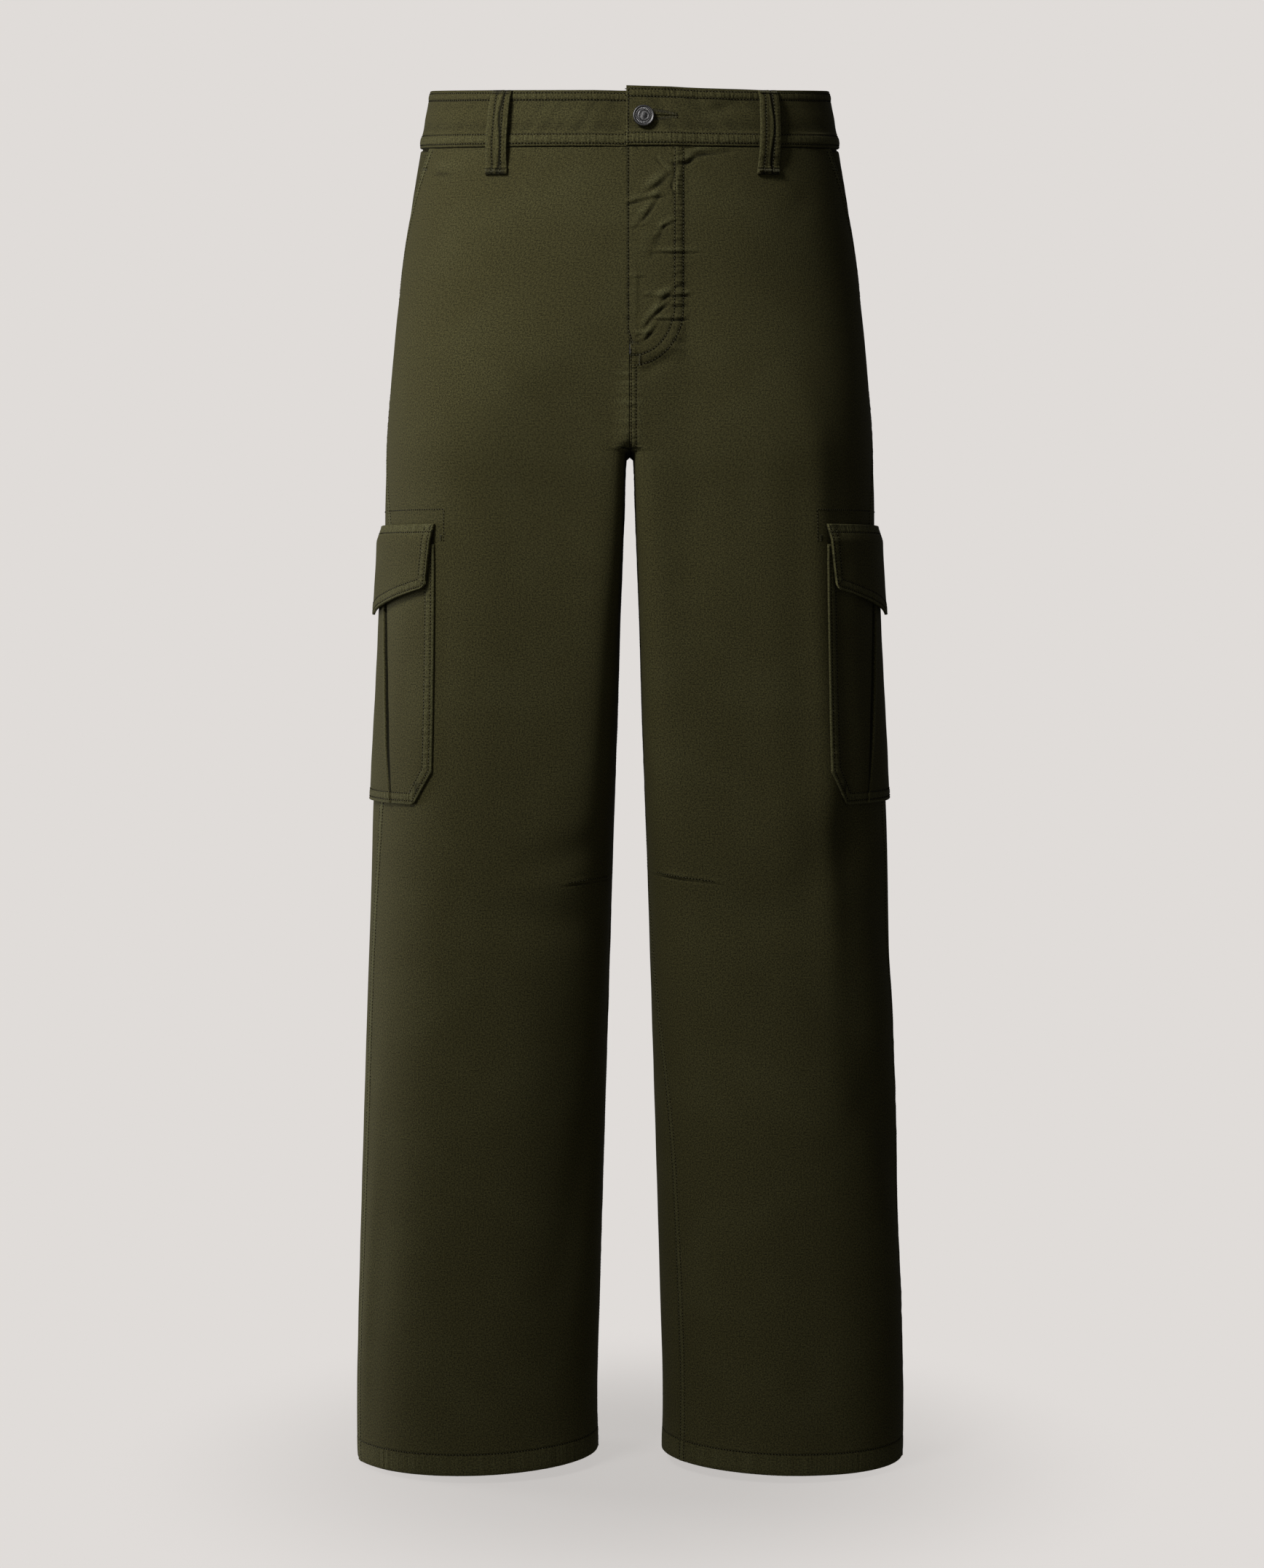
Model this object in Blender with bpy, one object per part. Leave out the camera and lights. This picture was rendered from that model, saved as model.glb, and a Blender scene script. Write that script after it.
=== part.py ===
"""Wide-leg cargo trousers, worn and hollow, built from the pieces that are cut and sewn.

Sizes below are in millimetres, the meshes are in metres, +Z is up and the front faces -Y.
Left and right are the wearer's, so the left half lies at +X. The origin is the centre of the
waist opening, at half the waistband's height. `drop` is the distance below the waistband's top
edge, down the outer side of the leg. `turn` is the angle in degrees round one half of the
garment: 0 on the outer side, 90 over the front, 180 on the inner leg, -90 over the back.
"""
import math
from collections import namedtuple

import bpy
import numpy as np

MM = 0.001

# Driving lengths
OUTSEAM = 1049.0
CROTCH_DROP = 277.0
BAND_HEIGHT = 44.0
HEM_FOLD = 17.0

# The rings of the two legs join over these heights above the crotch. Towards the inner leg a ring
# is squarer than a plain oval, and the back takes only a share of that.
FRONT_RISE_CURVE = 140.0
BACK_RISE_CURVE = 160.0
CROTCH_SHARPNESS = 0.6
PLAIN_SQUARE = 2.25
BACK_SHARE = 0.35

# The crotch seam bridges the legs with a flat, narrow web
BRIDGE_RISE = 2.5
BRIDGE_TURN = 14.0

# The waist tips forward, and each hem is a little lower on its outer side
WAIST_TIP = 0.157
WAIST_TIP_FADE = 1.3
HEM_TIP = 0.027
HEM_TIP_START = 850.0

# Cloth walls and the clearances between them
CLOTH = 1.5
HEM_CLOTH = 2.5
HEM_STEP = 1.5
GAP = 0.3
LOOSE_GAP = 0.6

# Fly: the left front laps over the right one
FLY_LAP = 2.5
FLY_UNDERLAP = 20.0
FLY_WIDTH = 33.0
FLY_EASE = 10.0
FLY_RAISE = 1.9
FLY_END = 200.0
FLY_FOOT = 12.0
FLY_ROOM = 0.7
FLY_FLAT = 2.0
UNDERLAP_END = 172.0

# Waistband ends, one over the other
BAND_UNDERLAP = 28.0
BAND_LAP_EASE = 24.0
BAND_LAP_RAISE = 2.5
BAND_LAP_SINK = 2.0
BAND_LAP_LIFT = 3.0
BAND_LAP_MARGIN = 2.0

# Cargo pocket and flap, centred just in front of the outer side and leaning forward below
MM_PER_TURN = 1.73
POCKET_TURN = 6.0
POCKET_TURN_BELOW = 9.5
POCKET_HALF = 91.0
POCKET_TOP = 344.5
POCKET_BOTTOM = 538.5
POCKET_CHAMFER_WIDTH = 16.0
POCKET_CHAMFER_HEIGHT = 25.0
POCKET_CLEAR = 0.8
EDGE_ROUND = 0.5
PLEAT_TOP = 16.5
PLEAT_BOTTOM = 48.5
PLEAT_STEP = 1.5
PLEAT_RISE = 1.3
PLEAT_SEWN_FLAT = 0.45
PLEAT_SEWN_FROM = 0.7
FLAP_CLOTH = 2.0
FLAP_TOP = 329.5
FLAP_HALF = 91.5
FLAP_EDGE_HEIGHT = 47.0
FLAP_POINT_HEIGHT = 68.0
FLAP_CORNER = 4.0
FLAP_TAPER = 4.0
FLAP_FLARE = 0.03
FLAP_OVER_POCKET = 3.5
FLAP_OVER_RUN = 13.0

# Slanting hand pockets: the mouth runs from the waist seam back to the side seam
MOUTH_TURN_TOP = 22.6
MOUTH_END = 184.0
FACING_UNDER = 7.0
FACING_BELOW = 6.0
FACING_MARGIN = 1.5
FACING_SLOPE = 8.0
FACING_CLEAR = 1.0

# Belt loops
LOOP_WIDTH = 16.2
LOOP_CLOTH = 1.6
LOOP_FOOT_EXTRA = 1.0
LOOP_FOOT_DROP = 60.3
LOOP_FOOT_SPREAD = 1.06

# Waist button
BUTTON_RADIUS = 7.8
BUTTON_FROM_CENTRE = 10.0
BUTTON_DROP = 21.5

FRONT_COLUMNS = 16
BACK_COLUMNS = 18
COLUMN_SWING = 60.0
BAND_COLUMNS = 20
POCKET_COLUMNS = 5
POCKET_ROWS = 6
FLAP_COLUMNS = 6
FLAP_ROWS = (0.0, 0.06, 0.3, 0.6, 0.97, 1.0)
FACING_ROWS = 8
FACING_COLUMNS = 5

# The rings: half width, depths to front and back, and squareness on the outer and inner sides
Section = namedtuple("Section", "drop half_width front back square inner_square")
SECTIONS = (
    Section(0, 150.3, 103, 103, 2.25, 2.25),
    Section(22, 154.6, 105, 106, 2.25, 2.25),
    Section(47, 158.9, 107, 110, 2.25, 2.25),
    Section(91, 166.3, 110, 122, 2.25, 2.25),
    Section(135, 172.6, 111, 131, 2.25, 2.35),
    Section(179, 177.8, 111, 134, 2.25, 2.9),
    Section(223, 181.9, 109.5, 131, 2.2, 4.6),
    Section(277, 185.4, 106, 122, 2.1, 10.0),
    Section(311, 186.8, 102, 114, 2.05, 9.0),
    Section(356, 187.4, 99, 107, 2.0, 7.5),
    Section(400, 189.0, 96.5, 101, 2.0, 6.3),
    Section(467, 192.6, 92, 95, 2.0, 5.0),
    Section(546, 197.5, 87, 88, 2.0, 3.8),
    Section(602, 199.2, 84, 84, 2.0, 3.0),
    Section(692, 202.8, 80, 80, 2.0, 2.5),
    Section(783, 206.1, 77.5, 78, 2.0, 2.2),
    Section(874, 209.2, 75, 76.5, 2.0, 2.1),
    Section(965, 212.0, 73, 75, 2.0, 2.0),
    Section(1011, 212.9, 72, 74, 2.0, 2.0),
    Section(OUTSEAM, 212.4, 71, 73, 2.0, 2.0),
)

# Half the space between the legs
LegGap = namedtuple("LegGap", "drop half_gap")
LEG_GAPS = (
    LegGap(CROTCH_DROP, 2.6),
    LegGap(290, 3.3),
    LegGap(311, 3.9),
    LegGap(356, 5.6),
    LegGap(400, 7.3),
    LegGap(467, 9.2),
    LegGap(557, 12.4),
    LegGap(648, 15.2),
    LegGap(784, 19.4),
    LegGap(921, 23.4),
    LegGap(1014, 25.6),
    LegGap(OUTSEAM, 25.0),
)

# Where the seams run, as turns. The legs hang slightly twisted, so left and right differ.
Seam = namedtuple("Seam", "drop outer_right outer_left inner_right inner_left")
SEAMS = (
    Seam(BAND_HEIGHT, -11, -11, 180, 180),
    Seam(180, -9, -9, 180, 180),
    Seam(250, 2, 2, 180, 180),
    Seam(300, 14, 14, 180, 179),
    Seam(340, 22, 20, 180, 177),
    Seam(560, 22, 12, 183, 166),
    Seam(620, 18, 9, 184, 162),
    Seam(780, 16, 4, 186, 151),
    Seam(OUTSEAM, 14, 0, 186, 150),
)

# Large soft folds: a trough where depth is negative, a ridge where it is positive.
# lean is the angle of the fold's line, from level towards rising over the front.
Fold = namedtuple("Fold", "side turn drop length width lean depth")
FOLDS = (
    Fold(-1, 110, 250, 100, 15, -34, -0.9),
    Fold(1, 106, 246, 110, 14, -38, -0.8),
    Fold(-1, 128, 575, 90, 14, 14, -2.2),
    Fold(-1, 120, 625, 120, 18, -6, -2.6),
    Fold(1, 96, 622, 130, 20, 8, -2.0),
    Fold(1, 40, 600, 170, 26, 48, -3.4),
    Fold(1, 30, 790, 200, 24, 62, -2.4),
    Fold(-1, 26, 930, 230, 11, 86, 1.8),
    Fold(-1, 132, 590, 560, 42, 90, -6.0),
    Fold(1, 62, 470, 380, 14, 90, 5.0),
    Fold(-1, 150, 800, 260, 22, 74, -2.0),
    Fold(1, 78, 940, 200, 22, 84, -1.8),
    Fold(-1, -122, 304, 100, 14, 24, -3.0),
    Fold(-1, -126, 342, 90, 16, 12, -2.8),
    Fold(1, -124, 298, 90, 13, 28, -2.6),
    Fold(1, -120, 336, 80, 17, 8, -3.0),
    Fold(-1, -92, 590, 150, 15, 6, -3.4),
    Fold(-1, -84, 632, 130, 17, -10, -3.0),
    Fold(1, -95, 584, 140, 16, -8, -3.0),
    Fold(1, -86, 628, 160, 15, 5, -3.6),
    Fold(1, -90, 676, 110, 17, -12, -2.2),
    Fold(-1, -78, 900, 220, 24, 82, -2.2),
    Fold(1, -104, 910, 210, 22, 98, -2.0),
)

# Folds fade out towards the centre line and the fly
FOLD_FADE = 15.0

# Heights of the panels' rings
PANEL_DROPS = (62, 86, 112, 138, 163, MOUTH_END, 200, 214, 228, 240, 250, 258, 265, 270,
               CROTCH_DROP - BRIDGE_RISE, CROTCH_DROP, 284, 304, 326, 352, 384, 424, 470, 520,
               556, 584, 608, 632, 662, 704, 760, 820, 880, 935, 985)

# The waistband's cross-section: distance out from the cloth's face, and drop
BandPoint = namedtuple("BandPoint", "out drop")
BAND_PROFILE = (
    BandPoint(-2.2, 0.9),
    BandPoint(-0.8, 0.0),
    BandPoint(0.4, 0.6),
    BandPoint(0.9, 3.2),
    BandPoint(0.6, 9.0),
    BandPoint(0.7, 33.0),
    BandPoint(1.4, 37.5),
    BandPoint(1.0, 42.0),
    BandPoint(0.0, BAND_HEIGHT - GAP / 2),
    BandPoint(-2.2, BAND_HEIGHT - GAP / 2),
)

# A belt loop's path down the waistband: distance from the cloth to its inner face, and drop
LoopPoint = namedtuple("LoopPoint", "out drop")
LOOP_PATH = (
    LoopPoint(1.4, 0.8),
    LoopPoint(3.0, 5.0),
    LoopPoint(4.1, 12.0),
    LoopPoint(4.4, 26.0),
    LoopPoint(4.2, 42.0),
    LoopPoint(3.0, 51.0),
    LoopPoint(1.2, 57.6),
    LoopPoint(0.6, LOOP_FOOT_DROP),
    LoopPoint(0.6, 65.3),
)

# Each belt loop: the half it is on, its distance from the centre line, and its face. `lean` is how
# far it moves towards the front, or off the back's middle, for each mm down.
Loop = namedtuple("Loop", "name side from_centre lean over_front")
LOOPS = (
    Loop("belt_loop_front_right", -1, 94.2, 0.034, True),
    Loop("belt_loop_front_left", 1, 100.6, 0.11, True),
    Loop("belt_loop_back_right", -1, 92.0, 0.0, False),
    Loop("belt_loop_back_left", 1, 92.0, 0.0, False),
    Loop("belt_loop_centre_back", 1, 0.0, 0.0, False),
)

# The button's turned profile: radius, and height above the waistband
BUTTON_PROFILE = ((2.6, 0.0), (2.6, 1.2), (BUTTON_RADIUS - 0.6, 1.3), (BUTTON_RADIUS, 1.9),
                  (BUTTON_RADIUS - 0.1, 2.9), (BUTTON_RADIUS - 0.9, 3.5),
                  (BUTTON_RADIUS - 1.8, 3.2), (4.6, 3.1), (4.2, 3.5), (2.6, 3.6))
BUTTON_SIDES = 28

HALVINGS = 30

OLIVE = (0.034, 0.036, 0.018, 1.0)
OLIVE_DARK = (0.028, 0.030, 0.015, 1.0)
GUNMETAL = (0.22, 0.22, 0.22, 1.0)


def ease(amount):
    """A soft step from 0 to 1."""
    amount = np.clip(amount, 0.0, 1.0)
    return amount * amount * (3.0 - 2.0 * amount)


def read(table, column, drop):
    """One column of a table at any drop, along a smooth curve through its rows."""
    places = np.array([row.drop for row in table], float)
    values = np.array([getattr(row, column) for row in table], float)
    slopes = np.gradient(values, places)
    drop = np.clip(drop, places[0], places[-1])
    row = np.clip(np.searchsorted(places, drop) - 1, 0, len(places) - 2)
    width = places[row + 1] - places[row]
    t = (drop - places[row]) / width
    return (values[row] * (1 + 2 * t) * (1 - t) ** 2 + slopes[row] * width * t * (1 - t) ** 2
            + values[row + 1] * t * t * (3 - 2 * t) + slopes[row + 1] * width * t * t * (t - 1))


def smooth_face(side, drop, turn):
    """A point on the cloth's outer face before its folds."""
    drop = np.asarray(drop, float)
    angle = np.radians(turn)
    across, around = np.cos(angle), np.sin(angle)
    over_outside, over_front = across > 0.0, around > 0.0
    rise = BACK_RISE_CURVE + (FRONT_RISE_CURVE - BACK_RISE_CURVE) * (0.5 + 0.5 * around)
    joined = ease((CROTCH_DROP - drop) / rise)
    wide = read(SECTIONS, "half_width", drop)
    gap = read(LEG_GAPS, "half_gap", drop)
    centre = (wide + gap) / 2.0 * (1.0 - joined)
    inner = gap - (wide + gap) * joined ** CROTCH_SHARPNESS
    inner_square = read(SECTIONS, "inner_square", drop)
    softer = PLAIN_SQUARE + BACK_SHARE * (inner_square - PLAIN_SQUARE)
    inner_square = np.where(over_front, inner_square, softer)
    square = np.where(over_outside, read(SECTIONS, "square", drop), inner_square)
    swell = (np.abs(across) ** square + np.abs(around) ** square) ** (-1.0 / square)
    aside = np.where(over_outside, wide - centre, centre - inner) * across * swell
    past_inner = np.degrees(np.arccos(np.clip(-across, -1.0, 1.0)))
    bridge = ease((CROTCH_DROP - drop) / BRIDGE_RISE) * np.exp(-(past_inner / BRIDGE_TURN) ** 2)
    x = centre + aside - bridge * np.maximum(inner - GAP / 2, 0.0)
    depth = np.where(over_front, read(SECTIONS, "front", drop), read(SECTIONS, "back", drop))
    y = -depth * around * swell
    tip = WAIST_TIP * np.clip(1.0 - drop / CROTCH_DROP, 0.0, 1.0) ** WAIST_TIP_FADE
    hem = HEM_TIP * ease((drop - HEM_TIP_START) / (OUTSEAM - HEM_TIP_START))
    z = BAND_HEIGHT / 2.0 - drop + tip * y - hem * aside
    return np.stack(np.broadcast_arrays(side * x, y, z), axis=-1)


def fold_height(side, drop, turn):
    """How far the soft folds lift the cloth, or sink it where negative."""
    turn = (np.asarray(turn, float) + 180.0) % 360.0 - 180.0
    height = np.zeros(np.broadcast(drop, turn).shape)
    for fold in FOLDS:
        if fold.side != side:
            continue
        lean = math.radians(fold.lean)
        across = (turn - fold.turn) * MM_PER_TURN
        up = fold.drop - np.asarray(drop, float)
        along = across * math.cos(lean) + up * math.sin(lean)
        off = up * math.cos(lean) - across * math.sin(lean)
        height = height + fold.depth * np.exp(-(off / fold.width) ** 2 - (2 * along / fold.length) ** 2)
    from_centre = side * smooth_face(side, drop, turn)[..., 0]
    clear = (FLY_UNDERLAP + FLY_FLAT) * (1.0 - ease((drop - FLY_END - FLY_FOOT) / FLY_FOOT))
    return height * ease((from_centre - clear) / FOLD_FADE)


def face_normal(side, drop, turn):
    """The direction straight out of the cloth, and the length of one degree of turn."""
    down_step, turn_step = 0.5, 0.25
    across = smooth_face(side, drop, turn + turn_step) - smooth_face(side, drop, turn - turn_step)
    down = smooth_face(side, drop + down_step, turn) - smooth_face(side, drop - down_step, turn)
    normal = side * np.cross(across, down)
    length = np.linalg.norm(across, axis=-1) / (2.0 * turn_step)
    return normal / np.linalg.norm(normal, axis=-1, keepdims=True), length


def cloth(side, drop, turn, out=0.0):
    """Points `out` mm off the cloth's outer face."""
    drop, turn, out = np.broadcast_arrays(np.asarray(drop, float), turn, out)
    normal, _ = face_normal(side, drop, turn)
    return smooth_face(side, drop, turn) + normal * (out + fold_height(side, drop, turn))[..., None]


def degrees(side, drop, turn, width):
    """The turn that a width of cloth takes up."""
    return width / face_normal(side, np.asarray(drop, float), np.asarray(turn, float))[1]


def turn_at(drop, from_centre, over_front):
    """The turn at which the cloth reaches a distance from the centre line, found by halving."""
    sign = 1.0 if over_front else -1.0
    low, high = np.zeros(np.shape(drop)), np.full(np.shape(drop), 180.0)
    for _ in range(HALVINGS):
        middle = (low + high) / 2.0
        beyond = smooth_face(1, drop, sign * middle)[..., 0] > from_centre
        low, high = np.where(beyond, middle, low), np.where(beyond, high, middle)
    return sign * (low + high) / 2.0


def add_object(name, points, faces, colour, metallic=0.0, roughness=0.85):
    """One closed piece with its own material, from points in millimetres."""
    mesh = bpy.data.meshes.new(name)
    mesh.from_pydata([tuple(point * MM) for point in points], [], faces)
    mesh.update()
    material = bpy.data.materials.new(name)
    material.use_nodes = True
    shader = material.node_tree.nodes["Principled BSDF"]
    shader.inputs["Base Color"].default_value = colour
    shader.inputs["Metallic"].default_value = metallic
    shader.inputs["Roughness"].default_value = roughness
    mesh.materials.append(material)
    mesh.shade_smooth()
    mesh.set_sharp_from_angle(angle=math.radians(40))
    piece = bpy.data.objects.new(name, mesh)
    bpy.context.scene.collection.objects.link(piece)
    return piece


def agreement(a, b, c, d):
    """How nearly the triangles a-b-c and a-c-d lie in one plane."""
    first, second = np.cross(b - a, c - a), np.cross(c - a, d - a)
    return np.dot(first, second) / (np.linalg.norm(first) * np.linalg.norm(second))


def add_wall(name, side, outer, inner, colour=OLIVE):
    """A closed wall between two grids of points, rows down and columns towards larger turns."""
    rows, columns = outer.shape[:2]
    points = np.concatenate([outer.reshape(-1, 3), inner.reshape(-1, 3)])
    offset = rows * columns
    faces = []
    for row in range(rows - 1):
        for column in range(columns - 1):
            a = row * columns + column
            b, c, d = a + 1, a + columns + 1, a + columns
            corners = points[[a, b, c, d]]
            if agreement(*corners) > agreement(*np.roll(corners, -1, axis=0)):
                cell = ((a, c, b), (a, d, c))
            else:
                cell = ((a, d, b), (b, d, c))
            for first, second, third in cell:
                faces.append((first, second, third))
                faces.append((first + offset, third + offset, second + offset))
    top = list(range(columns))
    right = [row * columns + columns - 1 for row in range(rows)]
    bottom = [(rows - 1) * columns + column for column in reversed(range(columns))]
    left = [row * columns for row in reversed(range(rows))]
    border = top + right[1:] + bottom[1:] + left[1:-1]
    for index, a in enumerate(border):
        b = border[(index + 1) % len(border)]
        faces.append((a, b, b + offset, a + offset))
    if side > 0:
        faces = [tuple(reversed(face)) for face in faces]
    return add_object(name, points, faces, colour)


def add_ring(name, side, loops, colour=OLIVE):
    """A closed bar: each row of `loops` is one cross-section, and flat ends close it."""
    stations, corners = loops.shape[:2]
    faces = []
    for station in range(stations - 1):
        for corner in range(corners):
            a = station * corners + corner
            b = station * corners + (corner + 1) % corners
            faces.append((a, b, b + corners, a + corners))
    faces.append(tuple(reversed(range(corners))))
    faces.append(tuple((stations - 1) * corners + corner for corner in range(corners)))
    if side > 0:
        faces = [tuple(reversed(face)) for face in faces]
    return add_object(name, loops.reshape(-1, 3), faces, colour)


def outer_seam(side, drop):
    """The turn of the side seam."""
    return read(SEAMS, "outer_left" if side > 0 else "outer_right", drop)


def inner_seam(side, drop):
    """The turn of the inseam."""
    return read(SEAMS, "inner_left" if side > 0 else "inner_right", drop)


def front_side_edge(side, drop):
    """The front's outer edge: the pocket mouth above, the side seam below."""
    along = np.clip((drop - BAND_HEIGHT) / (MOUTH_END - BAND_HEIGHT), 0.0, 1.0)
    mouth = MOUTH_TURN_TOP + (outer_seam(side, MOUTH_END) - MOUTH_TURN_TOP) * along
    return np.where(drop < MOUTH_END, mouth, outer_seam(side, drop))


def fly_share(drop):
    """1 beside the fly, easing to 0 at its foot."""
    return 1.0 - ease((drop - FLY_END) / FLY_FOOT)


def centre_front_edge(side, drop):
    """How far each front stops from the centre line; less than 0 runs past it."""
    if side < 0:
        return GAP / 2 - (FLY_UNDERLAP + GAP / 2) * (1.0 - ease((drop - UNDERLAP_END) / FLY_FOOT))
    stop = GAP / 2 + FLY_ROOM * fly_share(drop)
    return stop - (FLY_LAP + stop) * (1.0 - ease((drop - UNDERLAP_END - FLY_FOOT) / FLY_FOOT))


def fly_raise(side, drop, turn):
    """The left front stands out where the fly's layers lie under it."""
    if side < 0:
        return np.zeros(np.broadcast(drop, turn).shape)
    from_centre = smooth_face(side, drop, turn)[..., 0]
    near = 1.0 - ease((from_centre - FLY_WIDTH) / FLY_EASE)
    return np.where(np.sin(np.radians(turn)) > 0.0, FLY_RAISE * near * fly_share(drop), 0.0)


def hem_thickness(drop):
    """The wall's thickness, doubled cloth at the hem."""
    return CLOTH + (HEM_CLOTH - CLOTH) * ease((drop - (OUTSEAM - HEM_FOLD)) / HEM_STEP)


def panel_rows():
    """The drops of a panel's rings, with the hem's fold as its last rows."""
    fold = OUTSEAM - HEM_FOLD
    return np.array((BAND_HEIGHT + GAP / 2,) + PANEL_DROPS + (fold, fold + HEM_STEP, OUTSEAM), float)


def add_panel(name, side, over_front):
    """A front or back leg panel from the waist seam to the hem."""
    drops = panel_rows()
    seam_room = degrees(side, drops, outer_seam(side, drops), GAP / 2)
    if over_front:
        outer = front_side_edge(side, drops) + np.where(drops < MOUTH_END, 0.0, seam_room)
        centre = turn_at(drops, centre_front_edge(side, drops), True)
        inner = inner_seam(side, drops) - degrees(side, drops, inner_seam(side, drops), GAP / 2)
    else:
        outer = outer_seam(side, drops) - seam_room
        centre = turn_at(drops, GAP / 2, False)
        inner = inner_seam(side, drops) - 360.0
        inner = inner + degrees(side, drops, inner, GAP / 2)
    nearer = np.minimum(centre, inner) if over_front else np.maximum(centre, inner)
    above = drops < CROTCH_DROP
    end = np.where(above, nearer, inner)
    guide = 180.0 - 90.0 * ease((CROTCH_DROP - drops) / COLUMN_SWING)
    guide = np.where(above, guide if over_front else -guide, end)
    columns = FRONT_COLUMNS if over_front else BACK_COLUMNS
    share = np.linspace(0.0, 1.0, columns + 1)
    turns = outer[:, None] + (guide - outer)[:, None] * share + (end - guide)[:, None] * share ** 3
    drops = np.repeat(drops[:, None], columns + 1, axis=1)
    lift = fly_raise(side, drops, turns)
    outer_face = cloth(side, drops, turns, lift)
    inner_face = cloth(side, drops, turns, lift - hem_thickness(drops))
    if not over_front:
        outer_face, inner_face = outer_face[:, ::-1], inner_face[:, ::-1]
    return add_wall(name, side, outer_face, inner_face)


def near_lap(side, from_centre):
    """1 where the waistband's two ends lie over each other, easing to 0 away from them."""
    lap = BAND_UNDERLAP if side > 0 else FLY_LAP
    return 1.0 - ease((from_centre - lap - BAND_LAP_MARGIN) / BAND_LAP_EASE)


def add_waistband(name, side):
    """Half the waistband, from the centre back round to its end at the centre front."""
    middle = (BAND_HEIGHT / 2.0,)
    past = FLY_LAP if side > 0 else BAND_UNDERLAP
    last = turn_at(np.array(middle), -past, True)[0]
    first = turn_at(np.array(middle), GAP / 2, False)[0]
    turns = np.linspace(first, last, BAND_COLUMNS + 1)
    profile_out = np.array([point.out for point in BAND_PROFILE])
    profile_drop = np.array([point.drop for point in BAND_PROFILE])
    loops = []
    for turn in turns:
        from_centre = float(smooth_face(1, BAND_HEIGHT / 2.0, turn)[0])
        near = near_lap(side, from_centre) if turn > 0.0 else 0.0
        shift = BAND_LAP_RAISE * near if side > 0 else -BAND_LAP_SINK * near
        lift = BAND_LAP_LIFT * near if side > 0 else 0.0
        raised = profile_drop - lift * (1.0 - profile_drop / BAND_HEIGHT)
        loops.append(cloth(side, raised, turn, profile_out + shift))
    return add_ring(name, side, np.array(loops))


def add_facing(name, side):
    """The cloth in a pocket's mouth: level with the back panel, and sinking under the front."""
    drops = np.linspace(BAND_HEIGHT + GAP, MOUTH_END + FACING_BELOW, FACING_ROWS + 1)[:, None]
    start = outer_seam(side, drops)
    start = start + degrees(side, drops, start, LOOSE_GAP)
    mouth = front_side_edge(side, drops)
    share = np.linspace(0.0, 1.0, FACING_COLUMNS + 1)
    shown = start + np.maximum(mouth - FACING_MARGIN - start, 0.5) * share
    turns = np.concatenate([shown, mouth + FACING_UNDER * share[1::2]], axis=1)
    drops = np.broadcast_to(drops, turns.shape)
    top = -(CLOTH + FACING_CLEAR) * ease((turns - mouth + FACING_MARGIN) / FACING_SLOPE + 1.0)
    outer_face = cloth(side, drops, turns, top)
    inner_face = cloth(side, drops, turns, top - CLOTH)
    return add_wall(name, side, outer_face, inner_face, OLIVE_DARK)


def pleat_rise(across, down):
    """The box pleat: the pocket's middle stands proud of its sides."""
    edge = PLEAT_TOP + (PLEAT_BOTTOM - PLEAT_TOP) * down
    held = 1.0 - PLEAT_SEWN_FLAT * ease((down - PLEAT_SEWN_FROM) / (1.0 - PLEAT_SEWN_FROM))
    return PLEAT_RISE * held * (1.0 - ease((np.abs(across) - edge) / PLEAT_STEP))


def add_cargo_pocket(name, side):
    """The cargo pocket's body: chamfered lower corners and a box pleat."""
    flat = POCKET_HALF - POCKET_CHAMFER_WIDTH
    grid_out, grid_in = [], []
    for down in np.linspace(0.0, 1.0, POCKET_ROWS + 1):
        edge = PLEAT_TOP + (PLEAT_BOTTOM - PLEAT_TOP) * down
        beside = edge + PLEAT_STEP + (flat - edge - PLEAT_STEP) * np.linspace(0.0, 1.0, POCKET_COLUMNS + 1)
        half = np.concatenate([(0.0, edge / 2.0, edge), beside, (POCKET_HALF - 1.0, POCKET_HALF)])
        across = np.concatenate([-half[:0:-1], half])
        corner = np.clip((np.abs(across) - flat) / POCKET_CHAMFER_WIDTH, 0.0, 1.0)
        drops = POCKET_TOP + (POCKET_BOTTOM - POCKET_CHAMFER_HEIGHT * corner - POCKET_TOP) * down
        turns = POCKET_TURN + (POCKET_TURN_BELOW - POCKET_TURN) * down + across / MM_PER_TURN
        at_edge = np.abs(across) > POCKET_HALF - EDGE_ROUND
        out = POCKET_CLEAR + CLOTH + pleat_rise(across, down) - EDGE_ROUND * at_edge
        grid_out.append(cloth(side, drops, turns, out))
        grid_in.append(cloth(side, drops, turns, POCKET_CLEAR))
    return add_wall(name, side, np.array(grid_out), np.array(grid_in))


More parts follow.
